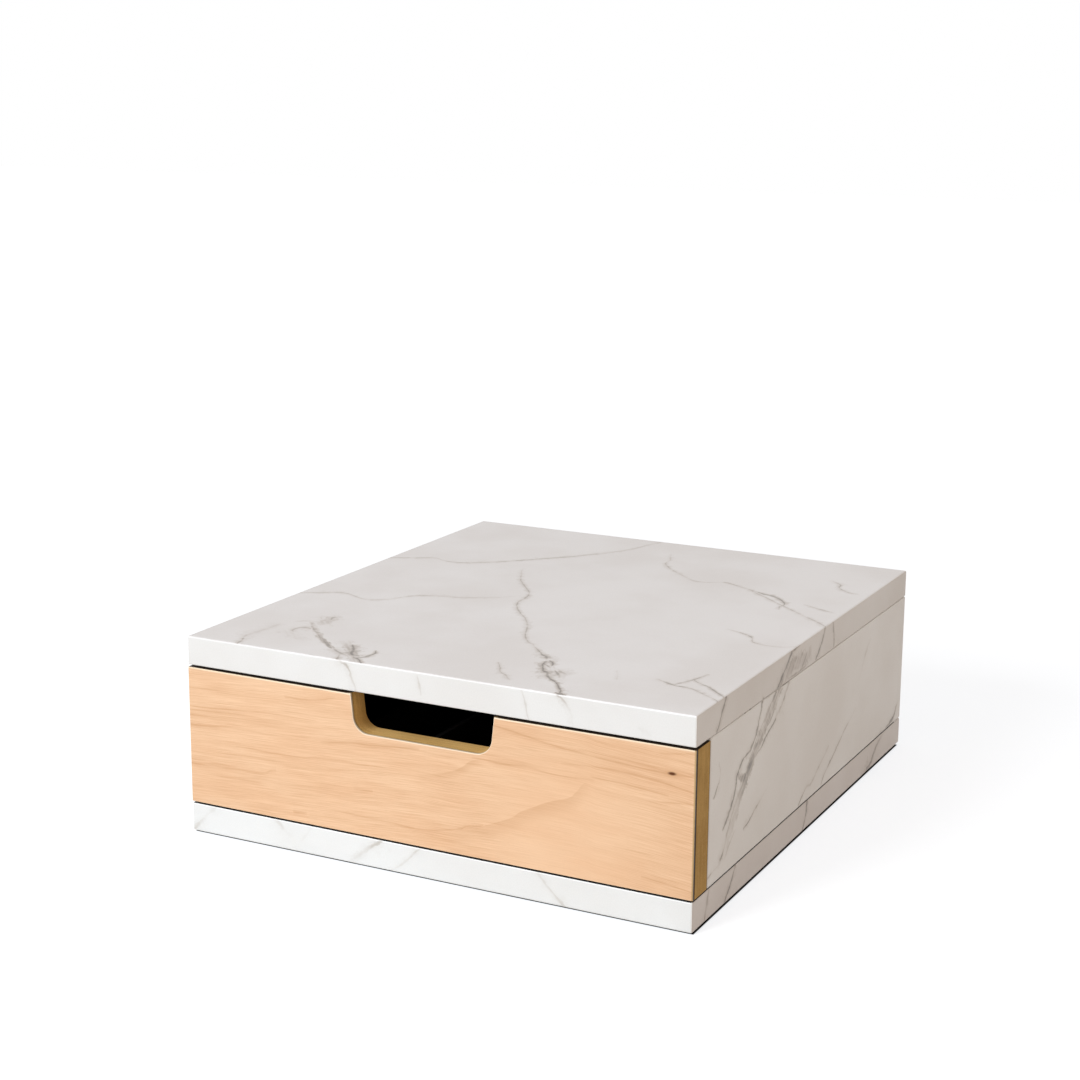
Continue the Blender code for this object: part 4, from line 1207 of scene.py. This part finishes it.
# ---------------------------------------------------------------- wood facing
# A light wood facing of 1.2 mm on the drawer front. Its grain runs level, rises gently to
# the right, and turns up round a plain patch at the lower right; one small pin knot shows.
# The edges are rounded by hand, and the glue line behind them is dark.
OUTER_ARRIS = 0.0003
CUTOUT_ARRIS = 0.0008
FACING_STEPS = 6
CUTOUT_DEPTH = 0.0206
CUTOUT_RADIUS = 0.009
CUTOUT_TAPER = math.radians(6)
CUTOUT_STEPS = 18
GLUE = (0.022, 0.008, 0.002)
GLUE_INSET = 0.0001
GLUE_BUMP = 0.00005
WOOD_LIGHT = (0.902, 0.606, 0.383)
WOOD_DARK = (0.66, 0.385, 0.205)
WOOD_BLOTCH = (0.965, 0.93, 0.90)
WOOD_SANDED = (1.0, 0.84, 0.62)
WOOD_END = (0.46, 0.30, 0.13)
WOOD_BUMP = 0.00003
KNOT = (0.085, 0.018, 0.0)
# In millimetres: the knot, the middle of the plain patch, where the wood deepens to the
# right, and how far the grain rises at each place along the front
KNOT_PLACE = (135.3, 80.6, 0)
CALM_PLACE = (80, 40, 0)
DEEPER_TONE = (-20, 120)
GRAIN_RISE = ((-147, -60, 20, 60, 95, 147), (0.0, 4.6, 8.6, 9.3, 7.4, 3.0))
# Each layer of streaks: how fine it is across and along the grain, the noise it starts
# at, and its strength
STREAKS = (
    (0.20, 0.008, 0.28, 0.20),
    (0.70, 0.012, 0.32, 0.09),
    (1.50, 0.020, 0.34, 0.13),
    (2.80, 0.045, 0.34, 0.52),
)
# Dark lines, and edges that fade out below, given like the veins: width, then X, Z, strength
GRAIN_LINES = (
    (0.7, -147, 72.2, 0.7, -134, 72.7, 0.9, -122, 73.7, 0.9, -109, 74.7, 0.8, -97, 75.2, 0.6,
     -80, 75.7, 0.5, -65, 75.8, 0),
    (0.9, -147, 70.2, 0.5, -130, 71.1, 0.6, -116, 72, 0.5, -97, 72, 0.3, -85, 72.2, 0),
    (0.9, -147, 67, 0.6, -130, 68.2, 0.5, -105, 70, 0.3, -95, 70.5, 0),
    (1.2, -147, 61.8, 0.8, -135, 62.5, 0.7, -122, 64, 0.4, -112, 65, 0),
    (1.6, -147, 40, 0.8, -135, 40.6, 0.7, -120, 41, 0.4, -110, 41.5, 0),
    (0.9, -86, 86, 0, -83.7, 86.2, 0.7, -72, 86.6, 0.8, -63.7, 87.8, 0.9, -58.7, 89.1, 0.6, -54, 90.3, 0),
    (0.9, -64, 64.8, 0, -58.7, 65.3, 0.6, -47, 66.8, 0.7, -34.5, 67.8, 1, -22, 68.8, 1, -12, 69.7, 0.8,
     -4, 70.3, 0),
    (0.7, -118, 53.5, 0, -112, 53.7, 0.5, -88, 54, 0.6, -74, 54.5, 0.7, -64, 55.8, 0.6, -47, 56.2, 0.6,
     -32, 56.6, 0.6, -22, 56.2, 0.3, -12, 56, 0),
    (0.8, -147, 83, 0.5, -130, 83.5, 0.5, -112, 84, 0),
    (0.8, -135, 48, 0, -120, 48.5, 0.4, -100, 49.5, 0.4, -88, 50, 0),
    (1.6, -136, 42, 0, -128, 42, 0.6, -116, 41, 0.5, -104, 41, 0.6, -96, 43.5, 0.5, -92, 44.5, 0),
    (0.8, -134.5, 34.9, 0, -125, 35, 0.5, -113, 35.3, 0.5, -100, 37, 0),
    (0.9, -82, 23.2, 0, -80, 23.3, 0.9, -76, 23.7, 0.9, -73, 24, 0),
    (0.8, -60, 28.5, 0, -48, 28.5, 0.4, -25, 28, 0.4, -12, 27.6, 0.8, -7, 27.4, 0),
    (0.8, -44, 42.5, 0, -40, 42.5, 0.7, -35, 42.8, 0.7, -32, 43, 0),
    (0.8, 36, 90.5, 0, 39.2, 89.9, 0.7, 50, 88.3, 0.8, 63.3, 86.3, 0.7, 75, 84.5, 0.7, 91.7, 82.7, 0.8,
     108.3, 81.6, 0.9, 123.3, 80.8, 1, 133.3, 80.3, 1, 146, 80.9, 0.7),
    (0.6, 85, 84.9, 0, 91.7, 84.5, 0.5, 108.3, 83.7, 0.6, 122, 82.6, 0.6, 131.7, 81.2, 0.5, 135, 80.8, 0),
    (0.9, 128, 90, 0, 133, 90.3, 0.5, 146, 92, 0.9),
    (0.8, 76, 76.4, 0, 83.3, 76.6, 0.4, 100, 77.4, 0.6, 116.7, 77, 0.8, 125, 76.2, 0.8, 141.7, 73.3, 0.8,
     147, 72.5, 0.6),
    (0.7, 92, 71.8, 0, 95.8, 71.6, 0.6, 112.5, 71.2, 0.9, 126.7, 69.9, 0.8, 134, 69, 0),
    (0.9, 26, 71, 0, 29.2, 71.2, 0.7, 41.7, 70.5, 0.9, 56.7, 71.2, 0.6, 75, 69.9, 0.6, 91.7, 70.5, 0.5,
     95, 70.6, 0),
    (0.8, 122, 65, 0, 128, 65.3, 0.5, 141.7, 66.2, 0.7, 147, 66.5, 0.5),
    (0.7, 120, 25.5, 0, 126.7, 24.9, 0.8, 145, 22.4, 0.9, 147, 22, 0.9),
    (0.6, 124, 27.2, 0, 130, 26.8, 0.6, 147, 25, 0.7),
    (0.7, 104, 37.8, 0, 110, 38.2, 0.4, 120, 37.7, 0.4, 128, 37, 0),
    (0.8, -8, 27, 0, 0, 27.7, 0.6, 10, 29.5, 0.8, 20, 32, 1, 25, 34.3, 1, 30.8, 35.3, 1, 33, 36, 0),
)
GRAIN_STEPS = (
    (9.0, -10, 26.4, 0, 0, 27.7, 0.2, 10, 29.5, 0.25, 20, 32, 0.3, 30.8, 35.3, 0.35, 36.7, 37, 0.4,
     46.7, 41.6, 0.42, 54.2, 47, 0.45, 62.5, 51.2, 0.5, 70.8, 55.3, 0.5, 79.2, 58.3, 0.45,
     83.3, 61.2, 0.4, 87.5, 66.2, 0.25, 91.7, 70.3, 0),
    (5.0, -6, 56.6, 0, 3.3, 58.3, 0.3, 12.5, 61, 0.4, 19.2, 64.1, 0.45, 23.3, 67, 0.45, 28.3, 69.9, 0.35,
     35, 71, 0),
)


def front_edge(low, high):
    """The drawer front's outline in X and Z, with the finger cutout in its upper edge.

    The cutout's sides lean in and meet its floor in arcs: a centre, plus the radius times
    the cosine and the sine of an angle that falls from the leaning side to the floor.
    """
    foot = CUTOUT_HALF - CUTOUT_DEPTH * math.tan(CUTOUT_TAPER)
    turn = math.pi / 2 - CUTOUT_TAPER
    centre_x = foot - CUTOUT_RADIUS * math.tan(turn / 2)
    centre_z = high.z - CUTOUT_DEPTH + CUTOUT_RADIUS
    angle = -CUTOUT_TAPER - turn * np.linspace(0, 1, CUTOUT_STEPS + 1)
    x = np.r_[CUTOUT_HALF, centre_x + CUTOUT_RADIUS * np.cos(angle)]
    z = np.r_[high.z, centre_z + CUTOUT_RADIUS * np.sin(angle)]
    cutout = np.c_[np.r_[x, -x[::-1]] + CUTOUT_MIDDLE, np.r_[z, z[::-1]]]
    corners = [(low.x, high.z), (low.x, low.z), (high.x, low.z), (high.x, high.z)]
    return np.r_[corners, cutout]


@node_group
def step_mask(across, middle, strength, width):
    """An edge that is sharp on one side and fades out on the other, over the width."""
    apart = across - middle
    fading = apart.ramp(width * -1.0, 0.0)
    return {"Mask": fading.least(apart.ramp(0.0, 0.6, 1.0, 0.0)) * strength}


@node_group
def wood_lines(position: "Vector"):
    """The drawn grain: lines that are broken along their way, and fading edges."""
    lines = [draw_line(line_mask, position, *row, more=(1.0, 0.3)) for row in GRAIN_LINES]
    breaks = position.stretched((0.05, 0.6, 0.0)).noise(1.0).ramp(0.35, 0.6, 0.55, 1.0)
    lines = reduce(Shade.most, lines) * breaks
    steps = [draw_line(step_mask, position, *row) for row in GRAIN_STEPS]
    return {"Mask": reduce(Shade.most, steps, lines)}


low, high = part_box("drawer_front_facing")
wood_material, place = new_material("light_wood")
point, normal = place.axes(), true_normal(place)
# The facing's plane in millimetres, waved a little, and a height that follows the grain
wave = place.noise(26.0, output=1).less((0.5, 0.5, 0.5))
flat = place.stretched((1000.0, 0.0, 1000.0))
where = wave.vector("MULTIPLY_ADD", (0.0, 0.0, 1.8), flat).axes()
drawn = where[0].flat(where[2])
left, right = GRAIN_RISE[0][0], GRAIN_RISE[0][-1]
share = where[0].ramp(left, right, kind="LINEAR")
shares = (np.array(GRAIN_RISE[0]) - left) / (right - left)
level = where[2] - share.curve(shares, GRAIN_RISE[1])
streaked = 0.0
for across, along, start, strength in STREAKS:
    grain = (where[0] * along).flat(level * across).noise(1.0, 3.0, 0.6)
    streaked = grain.ramp(start, 0.72, 0.0, strength) + streaked
calm = drawn.less(CALM_PLACE).vector("LENGTH").ramp(15.0, 60.0, 0.45, 1.0)
streaked = streaked * calm + where[0].ramp(*DEEPER_TONE, 0.0, 0.10)
shade = wood_lines(drawn).reckon("MULTIPLY_ADD", 0.75, streaked)
colour = mix(shade, WOOD_LIGHT, WOOD_DARK)
blotch = drawn.stretched((0.02, 0.06, 0.0)).noise(1.0, 3.0).ramp(0.35, 0.65)
colour = mix(blotch, colour, WOOD_BLOTCH, "MULTIPLY")
pores = (where[0] * 0.35).flat(level * 6.0).noise(1.0, 1.0).ramp(0.62, 0.74, 0.0, 0.35)
colour = mix(pores, colour, WOOD_DARK)
knot = drawn.less(KNOT_PLACE).stretched((0.38, 0.95, 0.0)).vector("LENGTH")
colour = mix(knot.ramp(0.3, 3.2, 0.7, 0.0), colour, WOOD_DARK)
colour = mix(knot.ramp(0.35, 1.15, 0.95, 0.0), colour, KNOT)
# The rounded edges carry a pale painted highlight, the right end shows end grain, glue soaks
# the rear, and the facing's top is painted dark as the shade under the top board
edge = normal[1].ramp(-0.98, -0.8, 0.0, 0.85)
rubbed = point[2].ramp(high.z - 0.0011, high.z - 0.0005, 0.0, 0.6)
colour = mix(edge.most(rubbed), colour, WOOD_SANDED)
colour = mix(point[0].ramp(high.x - 0.0011, high.x - 0.0003), colour, WOOD_END)
away = abs(where[0] - CUTOUT_MIDDLE * 1000)
aside = away.ramp(CUTOUT_HALF * 1000, (CUTOUT_HALF + CUTOUT_REACH) * 1000, 0.35, 1.0)
soaked = point[1].ramp(high.y - 0.0011, high.y - 0.0007) * aside
# Painted shade: the facing's top is darkened as the gap above it would shade it
upper = (normal[2] > 0.97) * (point[2] > high.z - STAIN_SKIN)
colour = mix(soaked.most(upper), colour, GLUE)
roughness = shade.most(knot.ramp(0.5, 2.5, 3.5, 0.0)).ramp(0.0, 3.5, 0.42, 1.0)
finish_surface(colour, roughness, shade, WOOD_BUMP)

outline = front_edge(low, high)
arris = np.where(np.arange(len(outline)) < 4, OUTER_ARRIS, CUTOUT_ARRIS)[:, None]
rings = [*eased(outline, low.y, arris, 1.0, FACING_STEPS), (outline, high.y)]
facing = plate("wood_face", rings, wood_material)
fit(facing, "drawer", "wood_facing", "drawer_front_facing")

glue_material, place = new_material("glue_line")
beads = place.noise(900.0)
away = abs(place.axes()[0] - CUTOUT_MIDDLE)
away = away.ramp(CUTOUT_HALF, CUTOUT_HALF + CUTOUT_REACH, 0.55, 0.0)
colour = mix(away, mix(beads, GLUE, STAIN), CORE_DARK)
finish_surface(colour, beads.ramp(0.3, 0.7, 0.5, 0.7), beads, GLUE_BUMP, 0.1)
recessed = inset(outline, GLUE_INSET)
glue = plate("glue_line", [(recessed, high.y), (recessed, core_low.y)], glue_material)
fit(glue, "drawer", "bare_core")

# ---------------------------------------------------------------- front screws
# Two longer steel screws of the same kind, with cross recesses, run from inside the box
# through its front wall into the front core, and draw the two together.
FRONT_SCREW = (0.0022, 0.002, (0.0014, 0.0004), 0.0011)

for side in ("left", "right"):
    cross_screw(f"core_screw_{side}", f"front_screw_{side}", "drawer", (0, -1, 0), *FRONT_SCREW)
